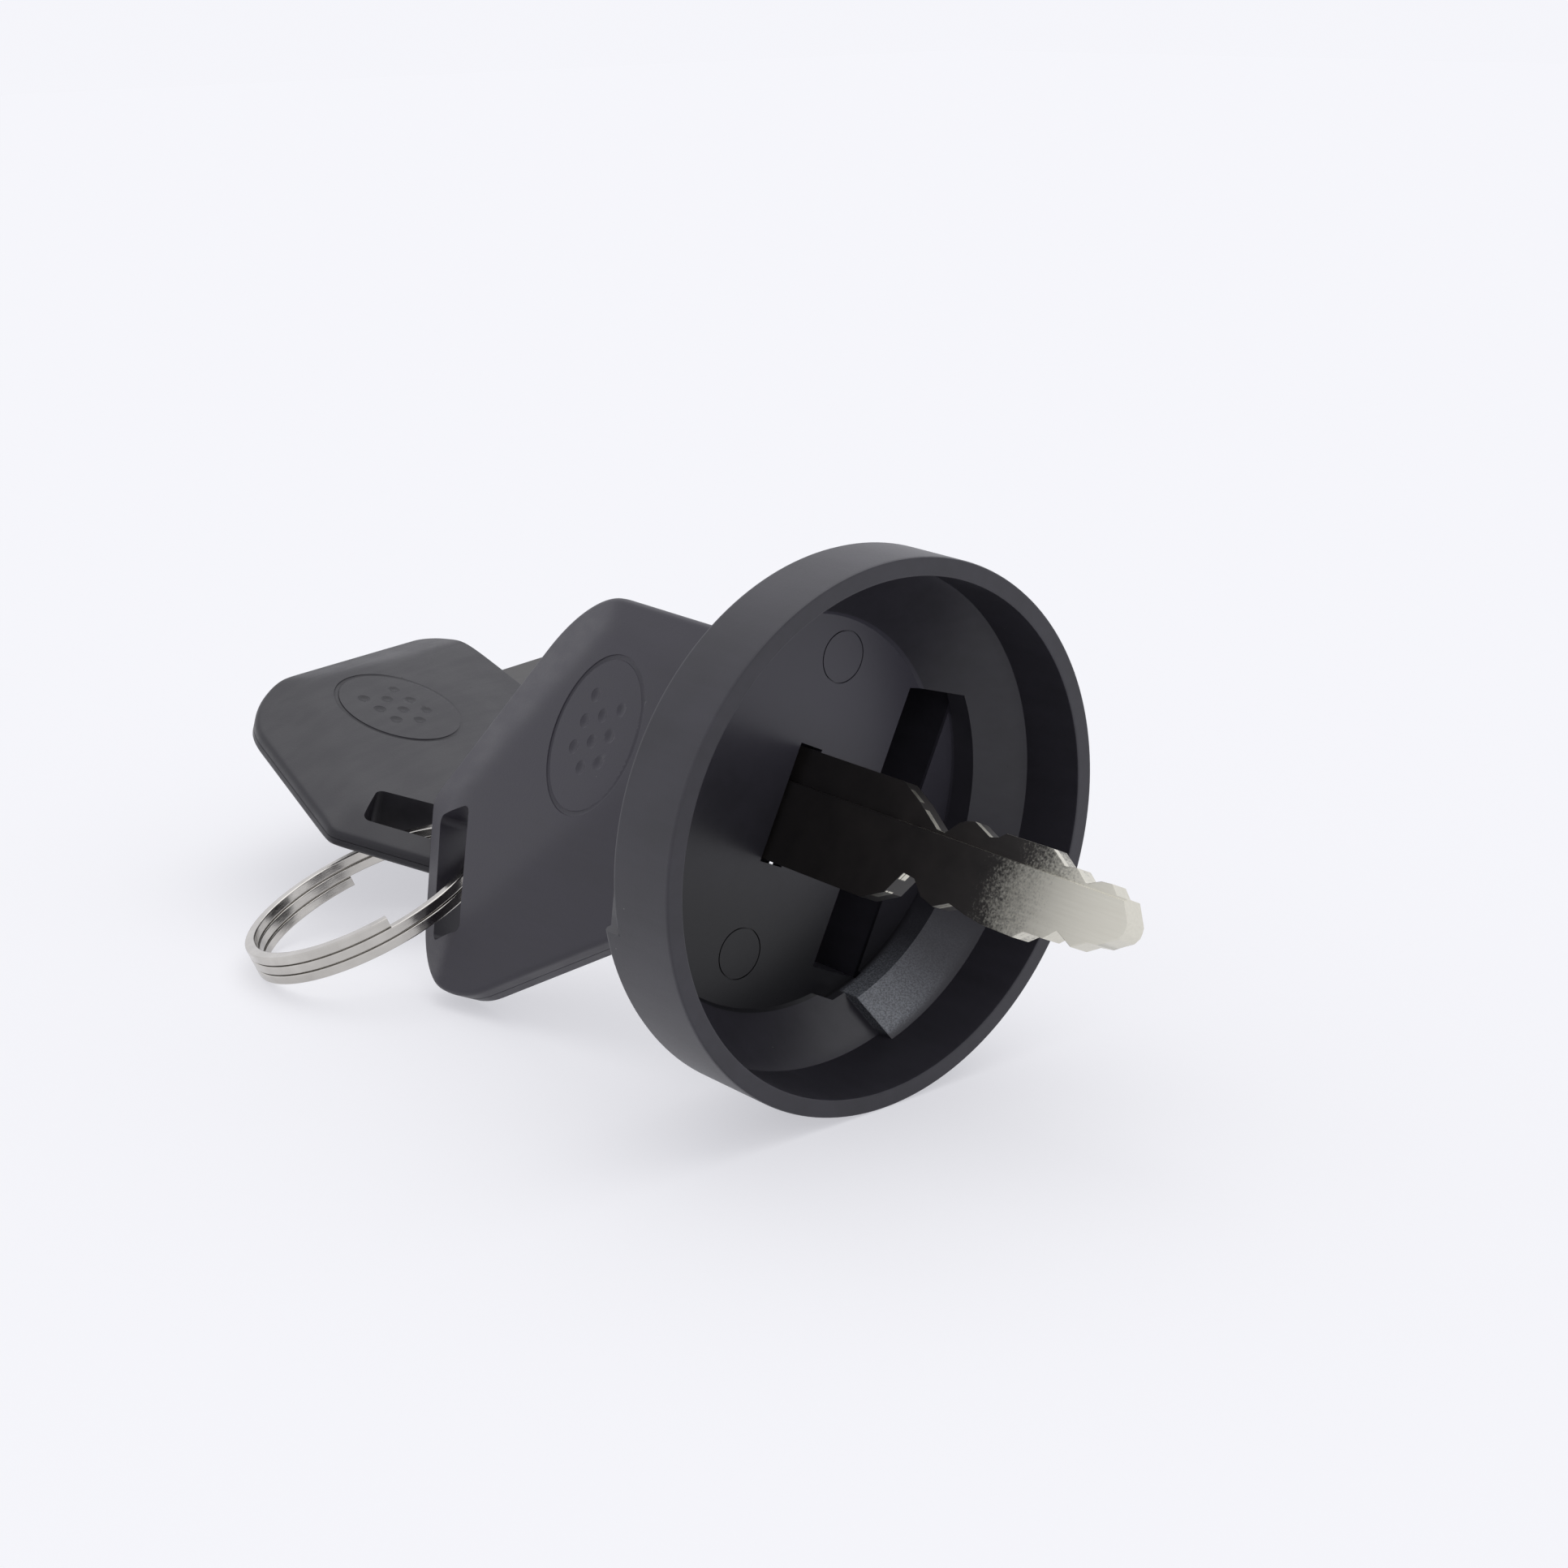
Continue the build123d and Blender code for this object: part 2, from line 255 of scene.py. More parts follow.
def apply_modifiers(obj: bpy.types.Object) -> None:
    """Turn an object's modifiers into its mesh.

    Args:
        obj: The piece.
    """
    bpy.context.view_layer.update()
    graph = bpy.context.evaluated_depsgraph_get()
    mesh = bpy.data.meshes.new_from_object(obj.evaluated_get(graph))
    obj.modifiers.clear()
    old = obj.data
    obj.data = mesh
    bpy.data.meshes.remove(old)


def combine(target: bpy.types.Object, tool: bpy.types.Object, op: Op) -> bpy.types.Object:
    """Apply a boolean and drop the tool.

    Args:
        target: The body that is changed.
        tool: The body that cuts, joins or limits it.
        op: Which of these.

    Returns:
        The target.
    """
    modifier = target.modifiers.new("boolean", "BOOLEAN")
    modifier.operation = op.value
    modifier.solver = "EXACT"
    modifier.object = tool
    apply_modifiers(target)
    bpy.data.objects.remove(tool)
    return target


def gathered(objects: Sequence[bpy.types.Object]) -> bpy.types.Object:
    """Put the meshes of separate objects into the first of them.

    Args:
        objects: The objects; all but the first are dropped.

    Returns:
        The first object.
    """
    bm = bmesh.new()
    for obj in objects:
        bm.from_mesh(obj.data)
    bm.to_mesh(objects[0].data)
    bm.free()
    for obj in objects[1:]:
        bpy.data.objects.remove(obj)
    return objects[0]


def drop_slivers(obj: bpy.types.Object, gap: float = 0.004, angle: float = 0.4) -> None:
    """Weld stray points, drop slivers and merge the flat neighbours that booleans leave behind.

    Args:
        obj: The piece.
        gap: Distance below which points are one, in millimetres.
        angle: Angle below which neighbours count as flat, in degrees.
    """
    bm = bmesh.new()
    bm.from_mesh(obj.data)
    bmesh.ops.remove_doubles(bm, verts=bm.verts, dist=gap)
    bmesh.ops.dissolve_degenerate(bm, edges=bm.edges, dist=gap)
    bmesh.ops.dissolve_limit(bm, angle_limit=math.radians(angle), verts=bm.verts, edges=bm.edges)
    bm.to_mesh(obj.data)
    bm.free()


def soften(obj: bpy.types.Object, width: float, angle: float, segments: int = 2) -> None:
    """Round the edges sharper than an angle.

    Args:
        obj: The piece.
        width: Width of the rounding, in millimetres.
        angle: Edges below this angle stay as they are, in degrees.
        segments: Faces across the rounding.
    """
    modifier = obj.modifiers.new("round", "BEVEL")
    modifier.width = width
    modifier.segments = segments
    modifier.limit_method = "ANGLE"
    modifier.angle_limit = math.radians(angle)
    modifier.use_clamp_overlap = False
    modifier.miter_outer = "MITER_ARC"
    apply_modifiers(obj)


def smooth(obj: bpy.types.Object, angle: float = 24.0, weight: int = 80) -> None:
    """Shade smooth, but keep the edges sharper than an angle crisp.

    Args:
        obj: The piece.
        angle: Edges above this angle stay crisp, in degrees.
        weight: How much large faces count in the normals, from 1 to 100.
    """
    obj.data.shade_smooth()
    obj.data.set_sharp_from_angle(angle=math.radians(angle))
    modifier = obj.modifiers.new("normals", "WEIGHTED_NORMAL")
    modifier.keep_sharp = True
    modifier.weight = weight
    apply_modifiers(obj)


def settle(obj: bpy.types.Object, name: str, pose: Pose, material: bpy.types.Material) -> bpy.types.Object:
    """Give a finished piece its name and material, and write its place into its mesh.

    Args:
        obj: The piece, in its own millimetres.
        name: Name of the object and its mesh.
        pose: The piece's own frame.
        material: Its only material.

    Returns:
        The same object.
    """
    obj.name = name
    obj.data.name = name
    obj.data.transform(pose.matrix())
    obj.data.materials.clear()
    obj.data.materials.append(material)
    return obj


# --------------------------------------------------------------------------- shader tools

MIX_LOW, MIX_HIGH, MIX_COLOUR = 6, 7, 2  # the Mix node's colour inputs and output
SPECK_CORE = 0.6  # share of a speck's radius that is fully covered


@dataclass
class Sock:
    """A shader value with arithmetic, so that node trees read as formulas."""

    tree: bpy.types.NodeTree
    out: bpy.types.NodeSocket

    def node(self, kind: str, inputs: dict | None = None, output: int | str = 0, **props: object) -> Sock:
        """Add any node and return one of its outputs.

        Args:
            kind: The node's type name.
            inputs: Values or Socks by input name or number.
            output: Which output to return.
            **props: Properties set on the node first.

        Returns:
            The chosen output.
        """
        made = self.tree.nodes.new(kind)
        for key, value in props.items():
            setattr(made, key, value)
        for key, value in (inputs or {}).items():
            if isinstance(value, Sock):
                self.tree.links.new(value.out, made.inputs[key])
            else:
                made.inputs[key].default_value = value
        return Sock(self.tree, made.outputs[output])

    def math(self, operation: str, other: Sock | float = 0.0) -> Sock:
        """One Math node on this value."""
        return self.node("ShaderNodeMath", {0: self, 1: other}, operation=operation)

    def __add__(self, other: Sock | float) -> Sock:
        """This value plus another."""
        return self.math("ADD", other)

    def __sub__(self, other: Sock | float) -> Sock:
        """This value minus another."""
        return self.math("SUBTRACT", other)

    def __rsub__(self, other: float) -> Sock:
        """A number minus this value."""
        return self.node("ShaderNodeMath", {0: other, 1: self}, operation="SUBTRACT")

    def __mul__(self, other: Sock | float) -> Sock:
        """This value times another."""
        return self.math("MULTIPLY", other)

    __radd__ = __add__
    __rmul__ = __mul__

    def ramp(self, low: float, high: float, to_low: float = 0.0, to_high: float = 1.0) -> Sock:
        """Map low..high to to_low..to_high with soft ends."""
        inputs = {"Value": self, "From Min": low, "From Max": high, "To Min": to_low, "To Max": to_high}
        return self.node("ShaderNodeMapRange", inputs, "Result", interpolation_type="SMOOTHSTEP")

    def band(self, centre: float, half: float, soft: float) -> Sock:
        """1 within half of centre, falling to 0 over soft."""
        return (self - centre).math("ABSOLUTE").ramp(half, half + soft, 1.0, 0.0)

    def mix(self, low: Point3 | Sock, high: Point3 | Sock) -> Sock:
        """Blend two colours by this value.

        Args:
            low: Colour at 0.
            high: Colour at 1.

        Returns:
            The blended colour.
        """
        low, high = (colour if isinstance(colour, Sock) else (*colour, 1.0) for colour in (low, high))
        inputs = {0: self, MIX_LOW: low, MIX_HIGH: high}
        return self.node("ShaderNodeMix", inputs, MIX_COLOUR, data_type="RGBA")


@dataclass(frozen=True)
class Grain:
    """A noise pattern.

    Attributes:
        size: Size of its features, in millimetres.
        detail: Octaves of finer noise in it.
        squeeze: Scale along each axis; below 1 the features are drawn out.
    """

    size: float
    detail: float = 2.0
    squeeze: Point3 = (1.0, 1.0, 1.0)


@dataclass(frozen=True)
class Dust:
    """Sparse round specks of dust.

    Attributes:
        spacing: Mean distance of the places where a speck may be, in millimetres.
        share: Share of those places that hold one.
        radius: Radius of a speck, in millimetres.
        cover: How much a speck hides of what it lies on.
        colour: Its colour.
    """

    spacing: float
    share: float
    radius: float
    cover: float
    colour: Point3


@dataclass
class Surface:
    """A material under construction.

    Attributes:
        name: The material's name.
        pose: The piece's own frame, in which patterns are laid out in millimetres.
    """

    name: str
    pose: Pose
    material: bpy.types.Material = field(init=False)
    tree: bpy.types.NodeTree = field(init=False)
    shader: bpy.types.Node = field(init=False)
    place: Sock = field(init=False)

    def __post_init__(self) -> None:
        """Start the node tree and work out the piece's own coordinates.

        They are the dot products of (Object coordinates in millimetres - origin) with the axes.
        """
        self.material = bpy.data.materials.new(self.name)
        self.material.use_nodes = True
        self.tree = self.material.node_tree
        self.shader = self.tree.nodes["Principled BSDF"]
        raw = Sock(self.tree, self.tree.nodes.new("ShaderNodeTexCoord").outputs["Object"])
        scaled = raw.node("ShaderNodeVectorMath", {0: raw, "Scale": 1.0 / MM}, operation="SCALE")
        start = raw.node("ShaderNodeVectorMath", {0: scaled, 1: self.pose.origin}, operation="SUBTRACT")
        axes = (self.pose.normal, self.pose.width, self.pose.along)
        parts = {
            index: raw.node("ShaderNodeVectorMath", {0: start, 1: axis}, "Value", operation="DOT_PRODUCT")
            for index, axis in enumerate(axes)
        }
        self.place = raw.node("ShaderNodeCombineXYZ", parts)

    def axes(self) -> tuple[Sock, Sock, Sock]:
        """Split the place into numbers.

        Returns:
            The piece's own x, y and z coordinates in millimetres.
        """
        split = self.tree.nodes.new("ShaderNodeSeparateXYZ")
        self.tree.links.new(self.place.out, split.inputs[0])
        return tuple(Sock(self.tree, split.outputs[i]) for i in range(3))

    def noise(self, grain: Grain) -> Sock:
        """The noise of a grain, from 0 to 1."""
        vector = self.place.node("ShaderNodeVectorMath", {0: self.place, 1: grain.squeeze}, operation="MULTIPLY")
        inputs = {"Vector": vector, "Scale": 1.0 / grain.size, "Detail": grain.detail}
        return self.place.node("ShaderNodeTexNoise", inputs, "Fac")

    def specks(self, dust: Dust) -> Sock:
        """Where the dust lies.

        A speck is the middle of a cell, where the cell's own random number is in the dust's share.

        Args:
            dust: The dust.

        Returns:
            1 inside a speck, 0 elsewhere.
        """
        inputs = {"Vector": self.place, "Scale": 1.0 / dust.spacing}
        near = self.place.node("ShaderNodeTexVoronoi", inputs, "Distance")
        colour = self.place.node("ShaderNodeTexVoronoi", inputs, "Color")
        pick = colour.node("ShaderNodeSeparateColor", {0: colour}, 0)
        edge = dust.radius / dust.spacing
        return near.ramp(edge * SPECK_CORE, edge, 1.0, 0.0) * pick.math("GREATER_THAN", 1.0 - dust.share)

    def set(self, name: str, value: Sock | float | Sequence[float]) -> None:
        """Set or link one input of the surface shader.

        Args:
            name: The input's name.
            value: A number, a colour or a shader value.
        """
        if isinstance(value, Sock):
            self.tree.links.new(value.out, self.shader.inputs[name])
        else:
            self.shader.inputs[name].default_value = value

    def bump(self, height: Sock, distance: float) -> None:
        """Link a height to the surface's normal; distance is its scale in millimetres."""
        inputs = {"Height": height, "Distance": distance * MM, "Strength": 1.0}
        self.set("Normal", height.node("ShaderNodeBump", inputs, "Normal"))


def tinted(tone: float, tint: Point3) -> Point3:
    """A grey tone times a tint."""
    return tuple(tone * part for part in tint)


# --------------------------------------------------------------------------- finishes

PLASTIC_IOR = 1.47
CONTRAST = (0.25, 0.75)  # range of the noise that is spread over 0 to 1
GLINT = 0.10  # how much the fine grain varies the roughness
SPECK_HEIGHT = 2.0  # height of a speck on plastic, as a share of the grain's


@dataclass(frozen=True)
class HeadPlastic:
    """Satin black moulded plastic with a fine grain, faint streaks and a little dust.

    Attributes:
        name: The material's name.
        pose: The head's own frame.
        tone: Linear grey of the plastic.
        tints: Tints between which it varies.
        cloud: Broad patches of the tint.
        streak: Streaks of the tint along the head.
        fine: Grain of the surface.
        coarse: Unevenness of the surface.
        coarse_share: Its height as a share of the grain's.
        dust: Dust on the surface.
        rough: Roughness where the tint is dark and where it is light.
        grain: Height of the grain, in millimetres.
    """

    name: str
    pose: Pose
    tone: float
    tints: tuple[Point3, Point3] = ((0.87, 0.80, 1.08), (1.15, 1.06, 1.42))
    cloud: Grain = Grain(6.0, 3.0)
    streak: Grain = Grain(1.4, 2.0, (1.0, 1.0, 0.12))
    fine: Grain = Grain(0.16)
    coarse: Grain = Grain(0.5, 1.0)
    coarse_share: float = 0.6
    dust: Dust = Dust(2.3, 0.10, 0.07, 0.5, (0.35, 0.34, 0.32))
    rough: Point2 = (0.40, 0.49)
    grain: float = 0.008

    def material(self) -> bpy.types.Material:
        """Build the material.

        Returns:
            The material.
        """
        surface = Surface(self.name, self.pose)
        fine, specks = surface.noise(self.fine), surface.specks(self.dust)
        shade = (surface.noise(self.cloud) * 0.5 + surface.noise(self.streak) * 0.5).ramp(*CONTRAST)
        base = shade.mix(*(tinted(self.tone, tint) for tint in self.tints))
        surface.set("Base Color", (specks * self.dust.cover).mix(base, self.dust.colour))
        surface.set("Roughness", shade.ramp(0.0, 1.0, *self.rough) + (fine - 0.5) * GLINT)
        surface.set("IOR", PLASTIC_IOR)
        height = fine + surface.noise(self.coarse) * self.coarse_share + specks * SPECK_HEIGHT
        surface.bump(height, self.grain)
        return surface.material


@dataclass(frozen=True)
class CapPlastic:
    """The cap's plastic: glossier inside, with painted light high on its floor, painted shade low on it, and painted
    glints on an etched part of its cone.

    Ranges of a place are in millimetres, ranges of an angle in radians.

    Attributes:
        name: The material's name.
        pose: The cap's own frame.
        tone: Linear grey of the plastic.
        tints: Tints between which it varies.
        cloud: Broad patches of the tint.
        streak: Streaks of the tint along the cap's axis.
        cloud_share: Share of the patches in the tint; the streaks have the rest.
        fine: Grain of the surface.
        fine_inside: Its height inside, as a share of that outside.
        coarse: Unevenness of the surface.
        coarse_share: Its height as a share of the grain's.
        dust: Dust on the surface.
        inside_radius: Radii over which the inside ends.
        inside_depth: Range of z over which it sets in.
        rough: Roughness outside and inside.
        floor_band: Middle, half width and soft edge of the floor, along z.
        painted_light_floor: Painted light, a paler colour on the floor towards its upper end.
        painted_light_range: Range of y over which this painted light sets in.
        painted_shade_floor: Painted shade, a darker colour on the floor towards its lower end.
        painted_shade_range: Range of y over which this painted shade fades.
        etched_edge: Angles over which the etching sets in.
        etched_fade: Angles over which it fades to etched_left.
        etched_left: What is left of it there.
        etched_end: Angles over which it ends.
        etched_band: Middle, half width and soft edge of the etching, along z.
        etched_gloss: How much smoother the etching is.
        painted_glint: Grains of painted glints, pale specks that stand in for the light that the etching catches.
        painted_glint_range: Range of their noise that is used.
        painted_glint_cover: How much of the plastic they hide at its ends.
        painted_glint_colour: Their pale painted colour.
        pits: Pits of the etching.
        pit_height: Their depth, as a share of the grain's height.
        grain: Height of the grain, in millimetres.
    """

    name: str = "cap_black_plastic"
    pose: Pose = CAP_POSE
    tone: float = 0.032
    tints: tuple[Point3, Point3] = ((0.85, 0.81, 1.02), (1.2, 1.14, 1.45))
    cloud: Grain = Grain(7.0, 3.0)
    streak: Grain = Grain(1.6, 2.0, (1.0, 1.0, 0.15))
    cloud_share: float = 0.6
    fine: Grain = Grain(0.15)
    fine_inside: float = 0.35
    coarse: Grain = Grain(0.6, 1.0)
    coarse_share: float = 0.5
    dust: Dust = Dust(2.6, 0.12, 0.075, 0.45, (0.32, 0.31, 0.29))
    inside_radius: Point2 = (24.2, 25.4)
    inside_depth: Point2 = (-15.0, -14.6)
    rough: Point2 = (0.42, 0.30)
    floor_band: Point3 = (-FLOOR_DEPTH, 0.3, 0.1)
    # Painted light towards the floor's upper end and painted shade towards its lower end.
    painted_light_floor: Point3 = (0.064, 0.061, 0.078)
    painted_light_range: Point2 = (-2.0, 12.0)
    painted_shade_floor: Point3 = (0.008, 0.008, 0.010)
    painted_shade_range: Point2 = (-14.0, -1.0)
    etched_edge: Point2 = (-0.845, -0.83)
    etched_fade: Point2 = (-0.80, -0.36)
    etched_left: float = 0.10
    etched_end: Point2 = (-0.34, -0.2)
    etched_band: Point3 = (-10.4, 2.7, 0.8)
    etched_gloss: float = 0.06
    # Painted glints: pale grains on the etched part that stand in for the light that it catches.
    painted_glint: Grain = Grain(0.17)
    painted_glint_range: Point2 = (0.3, 0.7)
    painted_glint_cover: Point2 = (0.3, 0.9)
    painted_glint_colour: Point3 = (0.33, 0.35, 0.38)
    pits: Grain = Grain(0.28, 1.0)
    pit_height: float = 9.0
    grain: float = 0.006

    def inside(self, x: Sock, y: Sock, z: Sock) -> Sock:
        """1 within the cap's walls and in front of its floor, 0 on its rim and outside."""
        radius = (x * x + y * y).math("SQRT")
        return radius.ramp(*self.inside_radius, 1.0, 0.0) * z.ramp(*self.inside_depth)

    def etched(self, x: Sock, y: Sock, z: Sock) -> Sock:
        """Where the cone is etched.

        It sets in at one angle, fades as the angle goes on, and keeps to a band of z.

        Args:
            x: The cap's own x.
            y: The cap's own y.
            z: The cap's own z.

        Returns:
            1 where it is fully etched, 0 where it is plain.
        """
        angle = y.math("ARCTAN2", x)
        begun = angle.ramp(*self.etched_edge) * angle.ramp(*self.etched_fade, 1.0, self.etched_left)
        return begun * angle.ramp(*self.etched_end, 1.0, 0.0) * z.band(*self.etched_band)

    def material(self) -> bpy.types.Material:
        """Build the material.

        Returns:
            The material.
        """
        surface = Surface(self.name, self.pose)
        x, y, z = surface.axes()
        inside = self.inside(x, y, z)
        etched = self.etched(x, y, z) * inside
        fine, specks = surface.noise(self.fine), surface.specks(self.dust)
        tint = surface.noise(self.cloud) * self.cloud_share + surface.noise(self.streak) * (1.0 - self.cloud_share)
        base = tint.ramp(*CONTRAST).mix(*(tinted(self.tone, part) for part in self.tints))
        # Painted light and shade on the floor: paler towards its upper end, darker towards its lower end.
        level = z.band(*self.floor_band)
        base = (level * y.ramp(*self.painted_light_range)).mix(base, self.painted_light_floor)
        base = (level * y.ramp(*self.painted_shade_range, 1.0, 0.0)).mix(base, self.painted_shade_floor)
        # Painted glints: pale grains on the etched part of the cone stand in for the light that it catches.
        painted_glint = surface.noise(self.painted_glint).ramp(*self.painted_glint_range, *self.painted_glint_cover)
        base = (etched * painted_glint).mix(base, self.painted_glint_colour)
        surface.set("Base Color", (specks * self.dust.cover).mix(base, self.dust.colour))
        gloss = inside.ramp(0.0, 1.0, *self.rough) + (fine - 0.5) * GLINT
        surface.set("Roughness", gloss - etched * self.etched_gloss)
        surface.set("IOR", PLASTIC_IOR)
        height = fine * inside.ramp(0.0, 1.0, 1.0, self.fine_inside) + surface.noise(self.coarse) * self.coarse_share
        height = height + specks * SPECK_HEIGHT + etched * surface.noise(self.pits) * self.pit_height
        surface.bump(height, self.grain)
        return surface.material


@dataclass(frozen=True)
class BladeSteel:
    """Stamped steel, blackened towards the head, bare at the tip and on the near half of its cut edges. The dark colour
    of the blackening is partly painted reflection of the dark surroundings that the steel mirrors.

    Attributes:
        name: The material's name.
        pose: The blade's own frame.
        black: Colours between which the blackened part varies; partly painted reflection, standing in for dark
            surroundings mirrored in the steel.
        bare: Colours between which the bare part varies.
        fine: Grain of the surface.
        scratch: Scratches along the blade.
        cloud: Broad patches of the blackening.
        dust: Dust on the surface.
        wear: Distances from the cap's mouth between which the blackening wears off, in millimetres.
        wear_fine: How far the grain shifts this, in millimetres.
        wear_cloud: How far the patches shift it.
        strip_edge: Range of y over which the strip starts.
        strip_shift: How much further out the strip wears.
        face_gap: Distances from a face over which the bare cut edges set in.
        strip_gap: Distances from the strip's face over which they set in.
        cut_start: Distances from the mouth over which they set in.
        shoulder: Middle, half width and soft edge of the stretch of the shoulders that stays black.
        rough: Roughness of the blackened and the bare part.
        rough_scratch: How much the scratches vary it.
        scratch_share: Height of the scratches as a share of the grain's.
        fine_share: Height of the fine grain as a share of the grain's.
        grain: Height of the grain as a whole, in millimetres.
    """

    name: str
    pose: Pose
    # Blackening, partly painted reflection: its dark colour also stands in for the dark surroundings that the steel
    # mirrors.
    black: tuple[Point3, Point3] = ((0.013, 0.012, 0.012), (0.036, 0.032, 0.030))
    bare: tuple[Point3, Point3] = ((0.66, 0.64, 0.55), (0.78, 0.76, 0.67))
    fine: Grain = Grain(0.22, 3.0)
    scratch: Grain = Grain(0.30, 2.0, (1.0, 1.0, 0.05))
    cloud: Grain = Grain(3.0, 3.0)
    dust: Dust = Dust(1.5, 0.25, 0.06, 0.6, (0.62, 0.60, 0.55))
    wear: Point2 = (13.5, 21.0)
    wear_fine: float = 9.0
    wear_cloud: float = 3.0
    strip_edge: Point2 = (2.1, 2.3)
    strip_shift: float = 3.0
    face_gap: Point2 = (0.08, 0.14)
    strip_gap: Point2 = (0.03, 0.06)
    cut_start: Point2 = (0.6, 0.9)
    shoulder: Point3 = (2.8, 0.4, 0.1)
    rough: Point2 = (0.34, 0.32)
    rough_scratch: float = 0.12
    scratch_share: float = 0.6
    fine_share: float = 0.5
    grain: float = 0.006

    def cut_edges(self, x: Sock, z: Sock) -> Sock:
        """Where the cut edges are bare: on their near half, clear of both faces and of the strip.

        Args:
            x: The blade's own x.
            z: The blade's own z.

        Returns:
            1 where they are bare, 0 elsewhere.
        """
        quarter = BLADE_HALF / 2
        off_face = (x + quarter).math("ABSOLUTE").ramp(quarter - self.face_gap[1], quarter - self.face_gap[0], 1.0, 0.0)
        off_strip = (x + BLADE_HALF - STRIP_DEPTH).math("ABSOLUTE").ramp(*self.strip_gap)
        return off_face * off_strip * z.ramp(*self.cut_start) * (1 - z.band(*self.shoulder))

    def material(self) -> bpy.types.Material:
        """Build the material.

        Returns:
            The material.
        """
        surface = Surface(self.name, self.pose)
        x, y, z = surface.axes()
        fine, scratch, cloud = (surface.noise(grain) for grain in (self.fine, self.scratch, self.cloud))
        specks = surface.specks(self.dust)
        reach = z - y.ramp(*self.strip_edge) * self.strip_shift
        reach = reach + (fine - 0.5) * self.wear_fine + (cloud - 0.5) * self.wear_cloud
        bare = reach.ramp(*self.wear).math("MAXIMUM", self.cut_edges(x, z))
        # The blackened colour is partly painted reflection of dark surroundings.
        base = bare.mix(cloud.mix(*self.black), scratch.mix(*self.bare))
        surface.set("Base Color", (specks * self.dust.cover).mix(base, self.dust.colour))
        surface.set("Metallic", bare)
        surface.set("Roughness", bare.ramp(0.0, 1.0, *self.rough) + (scratch - 0.5) * self.rough_scratch)
        surface.bump(scratch * self.scratch_share + fine * self.fine_share + specks, self.grain)
        return surface.material


@dataclass(frozen=True)
class RingNickel:
    """Bright nickel plating with fine drawn lines along the wire.

    Attributes:
        name: The material's name.
        pose: The ring's own frame.
        plating: Colours between which the plating varies.
        cloud: Broad patches of its colour.
        lines: The drawn lines.
        line_range: Range of their noise that is used.
        rough: Roughness between and on the lines.
        line_height: Height of the lines, in millimetres.
    """

    name: str = "ring_nickel"
    pose: Pose = RING_POSE
    plating: tuple[Point3, Point3] = ((0.46, 0.44, 0.41), (0.64, 0.62, 0.58))
    cloud: Grain = Grain(2.5)
    lines: Grain = Grain(0.10, 2.0, (0.10, 0.10, 1.0))
    line_range: Point2 = (0.2, 0.8)
    rough: Point2 = (0.13, 0.24)
    line_height: float = 0.003

    def material(self) -> bpy.types.Material:
        """Build the material.

        Returns:
            The material.
        """
        surface = Surface(self.name, self.pose)
        lines = surface.noise(self.lines)
        surface.set("Base Color", surface.noise(self.cloud).mix(*self.plating))
        surface.set("Metallic", 1.0)
        surface.set("Roughness", lines.ramp(*self.line_range, *self.rough))
        surface.bump(lines, self.line_height)
        return surface.material


# --------------------------------------------------------------------------- the cap


